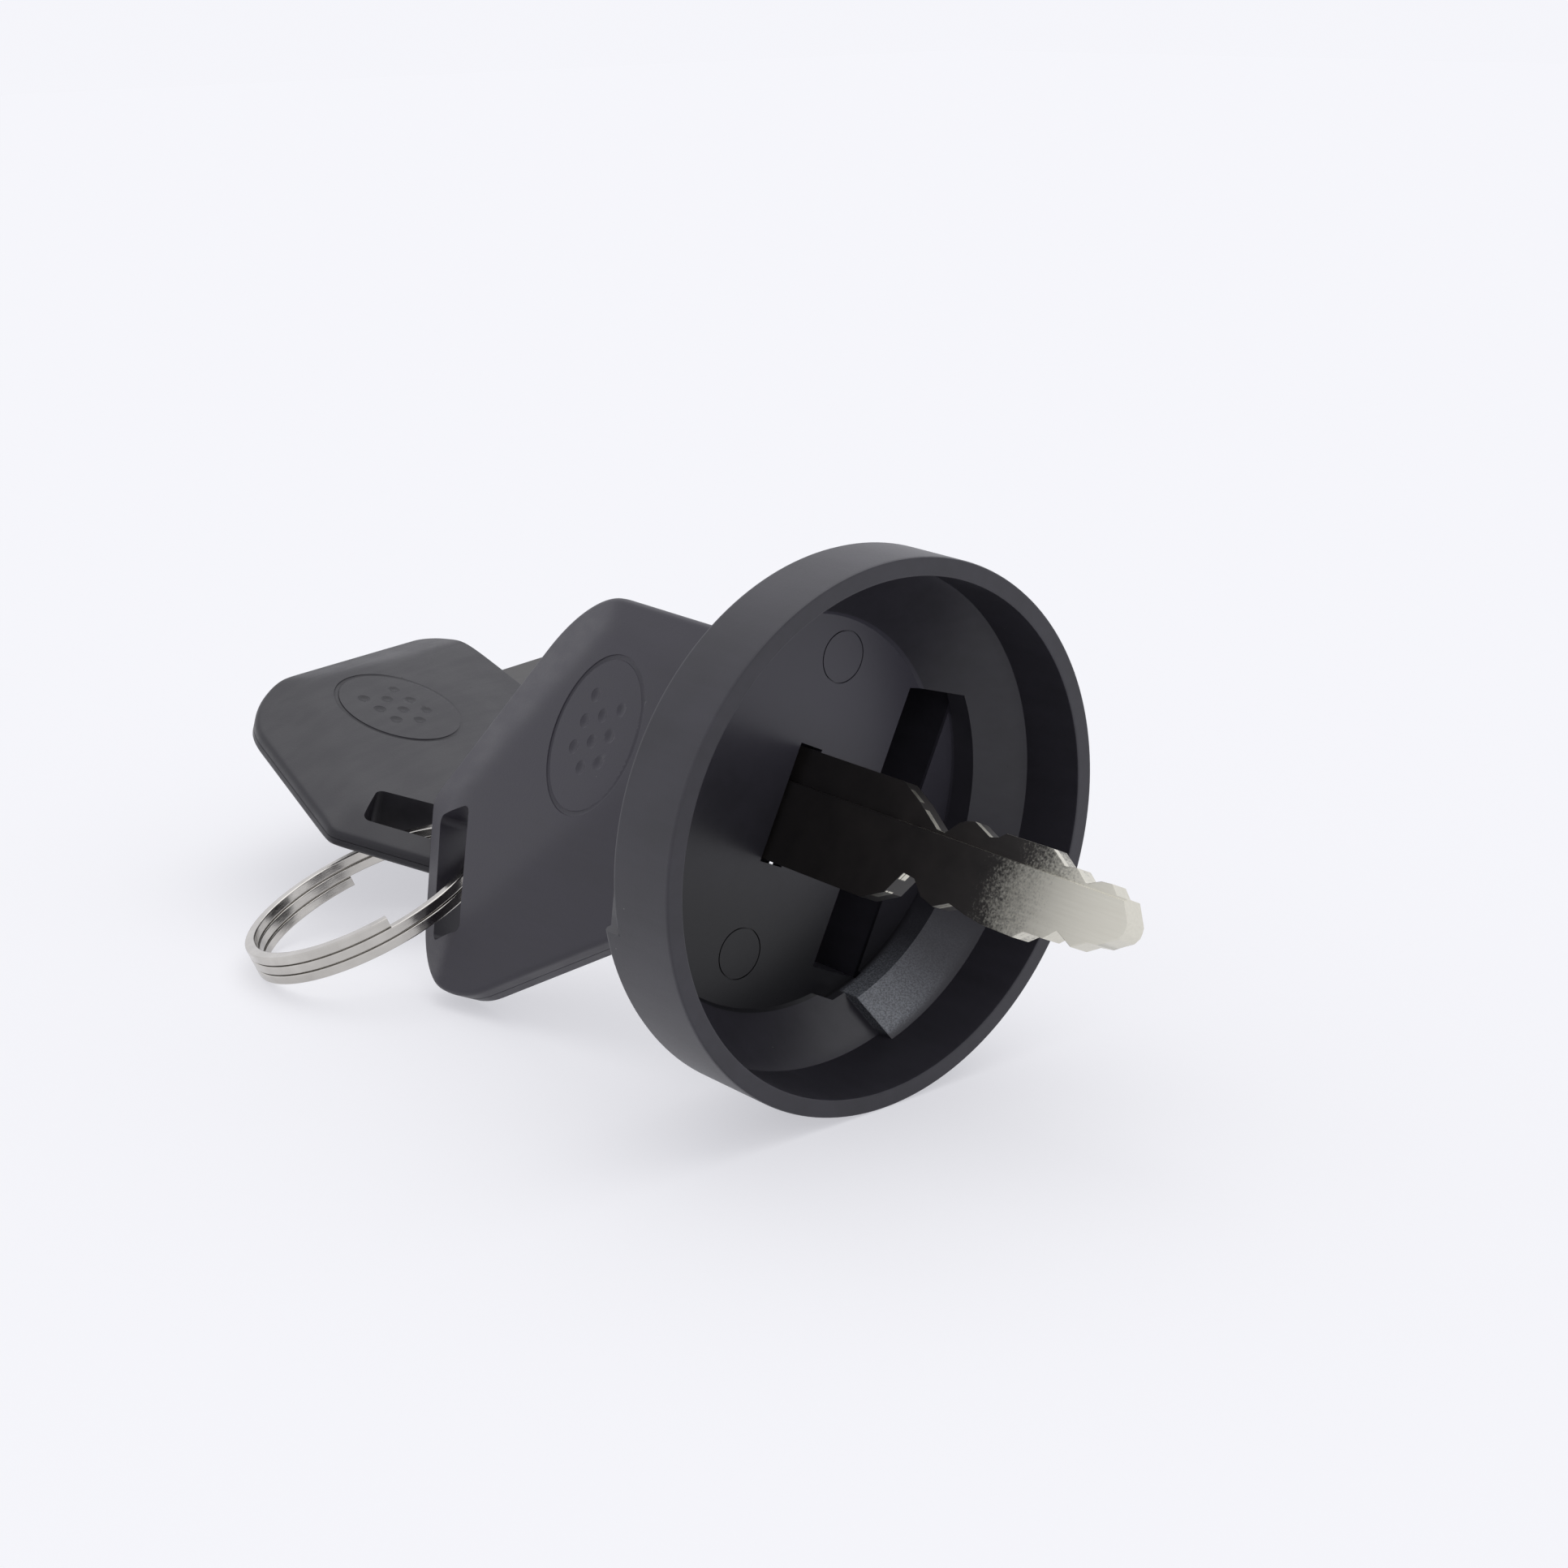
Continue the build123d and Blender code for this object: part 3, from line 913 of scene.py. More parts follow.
@dataclass
class CapMoulding:
    """The cap: stepped conical shell, floor, keyhole, slot pocket, D-shaped recess and ejector marks.

    Depths are measured in from the mouth, angles from the blade's normal, in degrees.

    Attributes:
        pose: The cap's own frame.
        rim_radius: Outer radius of the rim.
        inner_radius: Inner radius of the rim.
        rim_depth: Where the inner cylinder ends and the cone begins.
        rim_foot: Web between the inner cylinder's end and the rim's back edge.
        front_edge: Rounding of the rim's front edge, as (radius past the rim's, depth) points.
        back_edge: Rounding of its back edge, counted from that edge.
        mouth_edge: Softened mouth, as (radius past the inner one, depth) points.
        low_step: How much deeper the low sector lies.
        low_start: Where the low sector starts.
        low_arc: How far it goes.
        floor_radius: Radius of the floor where the cone meets it.
        floor_wall: Wall of the floor.
        cone_wall: Wall of the cone.
        pocket: The slot pocket's near and far x.
        pocket_half: Half length of the pocket towards its lower end.
        pocket_depth: Depth of the pocket below the floor.
        pocket_wall: Wall of the pocket.
        pocket_sink: How far behind the floor the pocket's box starts.
        pocket_over: How far in front of the floor the pocket's cut starts.
        recess_radius: Radius of the D-shaped recess.
        recess_wall: Wall of the recess.
        recess_foot: The recess's lower end.
        recess_run: How far past the pocket the recess's cut runs on.
        top_end: Where pocket and recess end above, at the pocket's near and far x.
        top_wall: Outer end of the pocket's wall above.
        keyhole: Half width and half height of the keyhole.
        mark_offset: Distance of each ejector mark from the middle.
        mark_groove: (radius, depth into the floor) outline of the mark's round groove.
        mark_step: Angle between the groove's sections.
    """

    pose: Pose = CAP_POSE
    rim_radius: float = 27.0
    inner_radius: float = 25.15
    rim_depth: float = 7.0
    rim_foot: float = 0.9
    front_edge: tuple[Point2, ...] = ((-0.25, 0.0), (-0.07, 0.08), (0.0, 0.28))
    back_edge: tuple[Point2, ...] = ((0.0, -0.6), (-0.12, -0.25), (-0.45, 0.0))
    mouth_edge: tuple[Point2, ...] = ((0.22, -PAST), (0.22, 0.0), (0.06, 0.07), (0.0, 0.24))
    low_step: float = 1.85
    low_start: float = -144.0
    low_arc: float = 96.0
    floor_radius: float = 18.9
    floor_wall: float = 1.3
    cone_wall: float = 1.3
    pocket: Point2 = (10.25, 16.65)
    pocket_half: float = 14.5
    pocket_depth: float = 6.8
    pocket_wall: float = 1.2
    pocket_sink: float = 0.2
    pocket_over: float = 0.5
    recess_radius: float = 21.6
    recess_wall: float = 1.3
    recess_foot: float = -17.1
    recess_run: float = 20.0
    top_end: Point2 = (14.75, 16.3)
    top_wall: float = 17.5
    keyhole: Point2 = (1.5, 6.05)
    mark_offset: float = 15.2
    mark_groove: tuple[Point2, ...] = ((2.45, -PAST), (2.75, -PAST), (2.65, 0.16), (2.55, 0.16))
    mark_step: float = 8.0

    @property
    def slope(self) -> float:
        """Angle of the cone from the floor, in radians."""
        return math.atan2(FLOOR_DEPTH - self.rim_depth, self.inner_radius - self.floor_radius)

    @property
    def back(self) -> float:
        """Depth of the floor's outer face."""
        return FLOOR_DEPTH + self.floor_wall

    def cone_radius(self, depth: float, shift: float = 0.0) -> float:
        """Radius of the cone at a depth, with the cone moved deeper by shift."""
        return self.floor_radius + (FLOOR_DEPTH + shift - depth) / math.tan(self.slope)

    def outside(self, step: float, start: float = 0.0, arc: float = 360.0) -> bpy.types.Object:
        """Filled outer form of one sector: a turned rim, cone and floor.

        Args:
            step: How much deeper its rim and cone lie.
            start: First angle.
            arc: Angle swept.

        Returns:
            A closed mesh.
        """
        shift = self.cone_wall / math.cos(self.slope) + step
        heel = self.rim_depth + self.rim_foot + step
        front = [(self.rim_radius + out, depth) for out, depth in self.front_edge]
        back = [(self.rim_radius + out, heel + depth) for out, depth in self.back_edge]
        shoulder = min(self.cone_radius(heel, shift), back[-1][0])
        foot = self.cone_radius(self.back, shift)
        return lathe([(0, 0), *front, *back, (shoulder, heel), (foot, self.back), (0, self.back)], start, arc)

    def inside(self, step: float, start: float = 0.0, arc: float = 360.0) -> bpy.types.Object:
        """Hollow of one sector: a turned mouth, cylinder and cone down to the floor.

        Args:
            step: How much deeper its cone lies.
            start: First angle.
            arc: Angle swept.

        Returns:
            A closed mesh.
        """
        mouth = [(self.inner_radius + out, depth) for out, depth in self.mouth_edge]
        wall = (self.inner_radius, self.rim_depth + step)
        foot = (self.cone_radius(FLOOR_DEPTH, step), FLOOR_DEPTH)
        return lathe([(0, -PAST), *mouth, wall, foot, (0, FLOOR_DEPTH)], start, arc)

    def slanted(self, foot: float, far: float, low: float, high: float) -> bpy.types.Object:
        """Bar from the pocket's near side to far, whose upper end runs through both points of top_end.

        Args:
            foot: The lower end's y.
            far: The far side's x.
            low: The bottom's z.
            high: The top's z.

        Returns:
            A closed mesh.
        """
        near = self.pocket[0]
        rise = (self.top_end[1] - self.top_end[0]) / (self.pocket[1] - near)
        corners = [(near, foot), (far, foot), (far, self.top_end[0] + rise * (far - near)), (near, self.top_end[0])]
        verts = [(x, y, z) for z in (low, high) for x, y in corners]
        faces = [(3, 2, 1, 0), (4, 5, 6, 7), *((i, (i + 1) % 4, (i + 1) % 4 + 4, i + 4) for i in range(4))]
        return mesh_object("bar", verts, faces)

    def walls(self) -> bpy.types.Object:
        """Join everything that stands: the shell's two sectors, the pocket's box and the recess's shell.

        Returns:
            The filled body.
        """
        body = self.outside(0.0)
        combine(body, self.outside(self.low_step, self.low_start, self.low_arc), Op.JOIN)
        near, far, wall = self.pocket[0], self.pocket[1], self.pocket_wall
        low = (near - wall, -self.pocket_half - wall, -FLOOR_DEPTH - self.pocket_depth - wall)
        combine(body, block(low, (far + wall, self.top_wall, -FLOOR_DEPTH - self.pocket_sink)), Op.JOIN)
        radius = self.recess_radius + self.recess_wall
        shell = lathe([(0, self.rim_depth), (radius, self.rim_depth), (radius, self.back), (0, self.back)])
        low = (near - wall, self.recess_foot - self.recess_wall, -self.back)
        keep = block(low, (BIG, self.top_wall + wall, 0))
        return combine(body, combine(shell, keep, Op.KEEP), Op.JOIN)

    def hollows(self, body: bpy.types.Object) -> None:
        """Cut both sectors' hollows, the recess, the pocket, the keyhole and the marks.

        Args:
            body: The filled body.
        """
        combine(body, self.inside(0.0), Op.CUT)
        combine(body, self.inside(self.low_step, self.low_start, self.low_arc), Op.CUT)
        radius = self.recess_radius
        recess = lathe([(0, 0), (radius, 0), (radius, FLOOR_DEPTH), (0, FLOOR_DEPTH)])
        keep = self.slanted(self.recess_foot, self.pocket[1] + self.recess_run, -BIG, BIG)
        combine(body, combine(recess, keep, Op.KEEP), Op.CUT)
        bottom = -FLOOR_DEPTH - self.pocket_depth
        top = self.pocket_over - FLOOR_DEPTH
        combine(body, self.slanted(-self.pocket_half, self.pocket[1], bottom, top), Op.CUT)
        wide, high = self.keyhole
        combine(body, block((-wide, -high, -self.back - PAST), (wide, high, PAST - FLOOR_DEPTH)), Op.CUT)
        for side in (-1, 1):
            mark = lathe([(r, FLOOR_DEPTH + depth) for r, depth in self.mark_groove], step=self.mark_step)
            mark.data.transform(Matrix.Translation((0, side * self.mark_offset, 0)))
            combine(body, mark, Op.CUT)

    def build(self, finish: CapPlastic) -> bpy.types.Object:
        """Model the moulding, dress it and set it down.

        Args:
            finish: The cap's plastic.

        Returns:
            The finished piece.
        """
        body = self.walls()
        self.hollows(body)
        drop_slivers(body)
        smooth(body)
        return settle(body, "cap_moulding", self.pose, finish.material())


# --------------------------------------------------------------------------- the keys


@dataclass
class KeyHead:
    """A key's plastic head: a five-sided wedge with soft bevels, a ring slot and an oval on each face.

    Places on the head are (along, across); angles are in degrees.

    Attributes:
        name: The piece's name.
        pose: The key's own frame.
        corners: Outline corners.
        radii: Radius at each corner.
        half: Half thickness at the neck.
        wedge_start: Where the faces start to slope.
        wedge_soft: How softly they do.
        wedge_angle: Slope of each face.
        bevels: Drop below the face at the side's middle and slope, for each side but the neck's.
        blend: How softly face and bevels run into each other.
        edge_inset: How far the outline is drawn in.
        edge_round: Radius of the faces' edges.
        edge_steps: Insets of the rows that draw this radius.
        waist: Half width and depth of the parting line.
        outline_points: Points round the outline.
        outline_step: Angle between points of its corners, before they are spaced evenly.
        centre: Place that the rows shrink to.
        inner_rings: Rows from the edge to the middle.
        slot_centre: Middle of the ring slot.
        slot_size: Length and width of the slot.
        slot_angle: Turn of the slot from the blade's length.
        slot_round: Corner radius of the slot.
        slot_step: Angle between points of its corners.
        oval_centre: Middle of the oval.
        oval_half: Half axes of the oval.
        oval_tilt: Turn of the oval from straight across.
        oval_groove: Radius and flattening of the oval's groove.
        groove_grid: Sections round the oval and points round each section.
        dimple: Radius and depth of each dimple.
        dimple_bowl: Its bottom, as shares of radius and depth.
        dimple_rim: Share of the radius at which its cut leaves the face, and how far the cut runs on.
        dimple_step: Angle between its sections.
        dimple_pitch: Distance of dimples within a row and of the rows.
        crease: Edges above this angle stay crisp.
    """

    name: str
    pose: Pose
    corners: tuple[Point2, ...] = ((NECK, 14.3), (-52.1, 14.3), (-66.3, -13.0), (-56.05, -35.5), (NECK, -10.2))
    radii: tuple[float, ...] = (3.0, 14.0, 2.0, 9.5, 3.0)
    half: float = 5.3
    wedge_start: float = -32.0
    wedge_soft: float = 0.3
    wedge_angle: float = 5.0
    bevels: tuple[Point2, ...] = ((1.9, 20.0), (1.9, 20.0), (1.9, 20.0), (3.0, 13.0))
    blend: float = 0.2
    edge_inset: float = 0.06
    edge_round: float = 0.65
    edge_steps: tuple[float, ...] = (0.0, 0.04, 0.13, 0.26, 0.42, 0.65)
    waist: float = 0.09
    outline_points: int = 260
    outline_step: float = 2.0
    centre: Point2 = (-36.0, 0.0)
    inner_rings: int = 44
    slot_centre: Point2 = (-56.9, -19.2)
    slot_size: Point2 = (13.9, 5.95)
    slot_angle: float = -65.2
    slot_round: float = 0.9
    slot_step: float = 15.0
    oval_centre: Point2 = (-39.8, -0.1)
    oval_half: Point2 = (8.4, 6.9)
    oval_tilt: float = 7.0
    oval_groove: Point2 = (0.30, 0.8)
    groove_grid: tuple[int, int] = (96, 10)
    dimple: Point2 = (0.85, 0.22)
    dimple_bowl: tuple[Point2, ...] = ((0.0, 1.0), (0.55, 0.75), (0.9, 0.2))
    dimple_rim: Point2 = (1.15, 0.4)
    dimple_step: float = 18.0
    dimple_pitch: Point2 = (2.9, 2.5)
    crease: float = 32.0

    @property
    def rise(self) -> float:
        """Fall of the sloped face for each millimetre along."""
        return math.tan(math.radians(self.wedge_angle))

    def face_half(self, along: float) -> float:
        """Half thickness of the head's face at a distance along the key."""
        return self.half - max(0.0, self.wedge_start - along) * self.rise

    def half_at(self, points: np.ndarray) -> np.ndarray:
        """Half thickness of the head where its face and its bevels blend into each other.

        Each bevel is a plane that rises inwards from its side. The half thickness is the soft
        minimum of face and bevels: -blend * log(sum of exp(-level / blend)).

        Args:
            points: (n, 2) array of (along, across) positions.

        Returns:
            The half thickness at each point.
        """
        wedge = (self.wedge_start - points[:, 0]) * self.rise
        levels = [self.half - self.wedge_soft * np.logaddexp(0.0, wedge / self.wedge_soft)]
        for index, (drop, degrees) in enumerate(self.bevels):
            first, last = np.array(self.corners[index]), np.array(self.corners[index + 1])
            run = (last - first) / np.linalg.norm(last - first)
            inward = np.array([run[1], -run[0]])
            if inward @ (np.array(self.centre) - first) < 0:
                inward = -inward
            middle = (first + last) / 2
            level = self.face_half(float(middle[0])) - drop
            levels.append(level + math.tan(math.radians(degrees)) * ((points - middle) @ inward))
        return -self.blend * np.logaddexp.reduce(-np.array(levels) / self.blend, axis=0)

    def outline(self) -> tuple[np.ndarray, np.ndarray]:
        """Rounded outline at even spacing.

        Returns:
            The points and their inward directions, (n, 2) each.
        """
        rough = rounded(self.corners, self.radii, self.outline_step)
        closed = np.vstack([rough, rough[:1]])
        reach = np.concatenate([[0.0], np.cumsum(np.linalg.norm(np.diff(closed, axis=0), axis=1))])
        at = np.arange(self.outline_points) * reach[-1] / self.outline_points
        points = np.stack([np.interp(at, reach, closed[:, k]) for k in (0, 1)], 1)
        tangent = np.roll(points, -1, 0) - np.roll(points, 1, 0)
        tangent /= np.linalg.norm(tangent, axis=1, keepdims=True)
        inward = np.stack([-tangent[:, 1], tangent[:, 0]], 1)
        if inward[0] @ (points.mean(0) - points[0]) < 0:
            inward = -inward
        return points + inward * self.edge_inset, inward

    def solid(self) -> bpy.types.Object:
        """The head's solid: a height field on rings that shrink from the outline to the middle.

        A row near the edge lies below the height field by the fall of a quarter circle. Where the
        half thickness is 0, one row is drawn in for the parting line.

        Returns:
            A closed mesh.
        """
        count = self.outline_points
        outline, inward = self.outline()
        rings = []
        for inset in self.edge_steps:
            points = outline + inward * inset
            fall = self.edge_round - math.sqrt(max(0.0, self.edge_round**2 - (self.edge_round - inset) ** 2))
            rings.append((points, self.half_at(points) - fall))
        inner = rings[-1][0]
        centre = np.array(self.centre)
        for k in range(1, self.inner_rings):
            points = inner + (centre - inner) * k / self.inner_rings
            rings.append((points, self.half_at(points)))
        level = np.full(count, self.waist)
        parting = [(outline, level), (outline + inward * self.waist, level * 0), (outline, -level)]
        rows = [*reversed(rings), *parting, *((points, -half) for points, half in rings)]
        middle = float(self.half_at(centre[None])[0])
        grid = [np.column_stack([half, points[:, 1], points[:, 0]]) for points, half in rows]
        poles = np.array([[middle, centre[1], centre[0]], [-middle, centre[1], centre[0]]])
        verts = np.concatenate([poles[:1], *grid, poles[1:]])
        here = 1 + np.arange(len(rows))[None] * count + np.arange(count)[:, None]
        ahead = np.roll(here, -1, 0)
        quads = np.stack([here[:, :-1], here[:, 1:], ahead[:, 1:], ahead[:, :-1]], -1).tolist()
        first = np.column_stack([np.zeros(count, int), here[:, 0], ahead[:, 0]]).tolist()
        last = np.column_stack([np.full(count, len(verts) - 1), ahead[:, -1], here[:, -1]]).tolist()
        faces = [face for top, side, end in zip(first, quads, last) for face in (top, *side, end)]
        return mesh_object("head", verts, faces)

    def slot_tool(self) -> bpy.types.Object:
        """Rounded bar that cuts the ring slot.

        A point (u, v) of the bar's outline is turned by the slot's angle and moved to its middle.

        Returns:
            A closed mesh.
        """
        length, width = self.slot_size[0] / 2, self.slot_size[1] / 2
        corners = [(-length, -width), (length, -width), (length, width), (-length, width)]
        u, v = rounded(corners, [self.slot_round] * 4, self.slot_step).T
        cos, sin = math.cos(math.radians(self.slot_angle)), math.sin(math.radians(self.slot_angle))
        along = self.slot_centre[0] + u * cos - v * sin
        across = self.slot_centre[1] + u * sin + v * cos
        return prism(np.column_stack([along, across]), -self.half * 2, self.half * 2)

    def face_frame(self, facing: int) -> Matrix:
        """Frame on a sloped face at the oval's middle.

        Args:
            facing: 1 for the face towards x, -1 for the other.

        Returns:
            Matrix with x along the oval's long axis, y along its short one and z outwards.
        """
        wedge, tilt = math.radians(self.wedge_angle), math.radians(self.oval_tilt)
        z_axis = Vector((facing * math.cos(wedge), 0, -math.sin(wedge)))
        x_axis = Vector((0, math.cos(tilt), math.sin(tilt)))
        x_axis = (x_axis - z_axis * x_axis.dot(z_axis)).normalized()
        turn = Matrix((x_axis, z_axis.cross(x_axis), z_axis)).transposed().to_4x4()
        along, across = self.oval_centre
        return Matrix.Translation((facing * self.face_half(along), across, along)) @ turn

    def groove_tool(self) -> bpy.types.Object:
        """Thin oval tube that cuts a round-bottomed groove.

        Its centre line is (a cos t, b sin t). Its section is tube * cos s along the oval's
        outward normal and tube * flatness * sin s along z.

        Returns:
            A closed mesh.
        """
        turns, sides = self.groove_grid
        t = np.arange(turns) * 2 * np.pi / turns
        s = np.arange(sides) * 2 * np.pi / sides
        a, b = self.oval_half
        tube, flatness = self.oval_groove
        out = np.stack([b * np.cos(t), a * np.sin(t)], 1)
        out /= np.linalg.norm(out, axis=1, keepdims=True)
        line = np.stack([a * np.cos(t), b * np.sin(t)], 1)
        flat = line[:, None] + out[:, None] * (tube * np.cos(s))[None, :, None]
        z = np.broadcast_to(tube * flatness * np.sin(s), (turns, sides))
        verts = np.concatenate([flat, z[..., None]], -1).reshape(-1, 3)
        rows = np.arange(turns * sides).reshape(turns, sides)
        return mesh_object("groove", verts, tube_faces(np.vstack([rows, rows[:1]])))

    def dimple_tool(self, x: float, y: float) -> bpy.types.Object:
        """Shallow turned lens that cuts a round dimple.

        Args:
            x: Its place along the oval's long axis.
            y: Its place along the oval's short axis.

        Returns:
            A closed mesh.
        """
        radius, depth = self.dimple
        share, above = self.dimple_rim
        bowl = [(radius * out, depth * down) for out, down in self.dimple_bowl]
        tool = lathe([*bowl, (radius * share, -above), (0.0, -above)], step=self.dimple_step)
        tool.data.transform(Matrix.Translation((x, y, 0)))
        return tool

    def build(self, finish: HeadPlastic) -> bpy.types.Object:
        """Model the head, dress it and set it down.

        Args:
            finish: The head's plastic.

        Returns:
            The finished piece.
        """
        body = self.solid()
        combine(body, self.slot_tool(), Op.CUT)
        pitch, spread = self.dimple_pitch
        for facing in (-1, 1):
            tools = [self.groove_tool()]
            tools += [
                self.dimple_tool(column * pitch + (row % 2) * pitch / 2 - pitch / 4, row * spread)
                for row in (-1, 0, 1)
                for column in (-1, 0, 1)
            ]
            for tool in tools:
                tool.data.transform(self.face_frame(facing))
            combine(body, gathered(tools), Op.CUT)
        smooth(body, self.crease)
        return settle(body, self.name, self.pose, finish.material())


@dataclass
class KeyBlade:
    """A key's stamped blade: shank, cut edges, rounded tip and the thinned strip along its upper side.

    Places on the blade are (along, across); for the lower edge across is counted downwards.

    Attributes:
        name: The piece's name.
        pose: The key's own frame.
        tail: Where the shank ends inside the head.
        shank: Where the shank's full width ends.
        shoulder: Where the bevel between shank and cut part ends.
        upper: The upper edge's cuts.
        lower: The lower edge's cuts.
        tip: The rounded tip.
        strip: Where the strip starts, along and across.
        strip_over: How far the strip's cut reaches across.
        round: Width of the rounding of every edge.
        round_angle: Edges above this angle are rounded, in degrees.
    """

    name: str
    pose: Pose
    tail: float = NECK - 10.0
    shank: Point2 = (-0.4, 5.75)
    shoulder: Point2 = (2.25, 4.5)
    upper: tuple[Point2, ...] = (
        (5.5, 2.55), (6.5, 2.5), (7.8, 3.8), (8.7, 4.2), (9.6, 4.4), (11.9, 3.5), (12.9, 3.75), (13.6, 4.3),
        (19.4, 4.4), (21.3, 3.3), (22.7, 3.5), (24.2, 2.5), (25.7, 3.1), (27.0, 3.2), (27.9, 2.4), (29.0, 2.4),
    )
    lower: tuple[Point2, ...] = (
        (3.7, 2.25), (5.2, 2.4), (6.7, 3.75), (8.4, 4.2), (10.2, 3.4), (12.3, 3.85), (14.6, 4.15), (18.6, 4.2),
        (19.7, 3.4), (22.0, 3.35), (23.2, 2.3), (25.2, 3.2), (26.6, 2.4), (28.0, 2.2), (29.0, 1.6),
    )
    tip: tuple[Point2, ...] = ((30.0, 0.95), (30.3, 0.5), (30.35, 0.0), (30.3, -0.5), (29.9, -1.1))
    strip: Point2 = (-15.5, 2.2)
    strip_over: float = 10.0
    round: float = 0.07
    round_angle: float = 28.0

    def build(self, finish: BladeSteel) -> bpy.types.Object:
        """Model the blade, dress it and set it down.

        Args:
            finish: The blade's steel.

        Returns:
            The finished piece.
        """
        shank = [(self.tail, self.shank[1]), self.shank, self.shoulder]
        below = [(along, -across) for along, across in reversed([*shank, *self.lower])]
        body = prism([*shank, *self.upper, *self.tip, *below], -BLADE_HALF, BLADE_HALF)
        low = (-BLADE_HALF - PAST, self.strip[1], self.strip[0])
        combine(body, block(low, (-BLADE_HALF + STRIP_DEPTH, self.strip_over, BIG)), Op.CUT)
        soften(body, self.round, self.round_angle)
        smooth(body)
        return settle(body, self.name, self.pose, finish.material())


# --------------------------------------------------------------------------- the ring


@dataclass
class SplitRing:
    """The split ring: one flat wire with rounded edges, wound into close turns with square-cut ends.

    Attributes:
        pose: The ring's own frame.
        radius: Radius of the wire's middle.
        wire: Width and thickness of the wire, across and along the ring's axis.
        corner: Edge radius as a share of the wire.
        corner_step: Angle between points of an edge, in degrees.
        pitch: Rise of each turn.
        turns: Number of turns.
        start: Angle of the lower end, in degrees.
        sections: Sections in each turn.
        crease: Edges above this angle stay crisp, in degrees.
    """

    pose: Pose = RING_POSE
    radius: float = 13.7
    wire: Point2 = (1.2, 1.08)
    corner: float = 0.16
    corner_step: float = 30.0
    pitch: float = 1.18
    turns: float = 2.5
    start: float = 160.0
    sections: int = 180
    crease: float = 40.0

    def build(self, finish: RingNickel) -> bpy.types.Object:
        """Wind the wire, dress it and set it down.

        A point is ((radius + u) cos angle, (radius + u) sin angle, rise + v), where (u, v) is a point of
        the wire's section and the rise grows evenly with the turns.

        Args:
            finish: The ring's plating.

        Returns:
            The finished piece.
        """
        square = [(-0.5, -0.5), (0.5, -0.5), (0.5, 0.5), (-0.5, 0.5)]
        section = rounded(square, [self.corner] * 4, self.corner_step) * np.array(self.wire)
        steps = int(self.turns * self.sections)
        t = np.linspace(0.0, self.turns, steps + 1)
        angle = np.radians(self.start) + t * 2 * np.pi
        radial = np.stack([np.cos(angle), np.sin(angle), np.zeros_like(angle)], 1)
        verts = radial[:, None] * (self.radius + section[None, :, 0, None])
        verts[..., 2] += ((t - self.turns / 2) * self.pitch)[:, None] + section[None, :, 1]
        rows = np.arange((steps + 1) * len(section)).reshape(steps + 1, -1)
        ends = [rows[0].tolist(), rows[-1, ::-1].tolist()]
        body = mesh_object("ring", verts.reshape(-1, 3), [*ends, *tube_faces(rows)])
        smooth(body, self.crease)
        return settle(body, "split_ring_wire", self.pose, finish.material())


# --------------------------------------------------------------------------- stage, light, camera


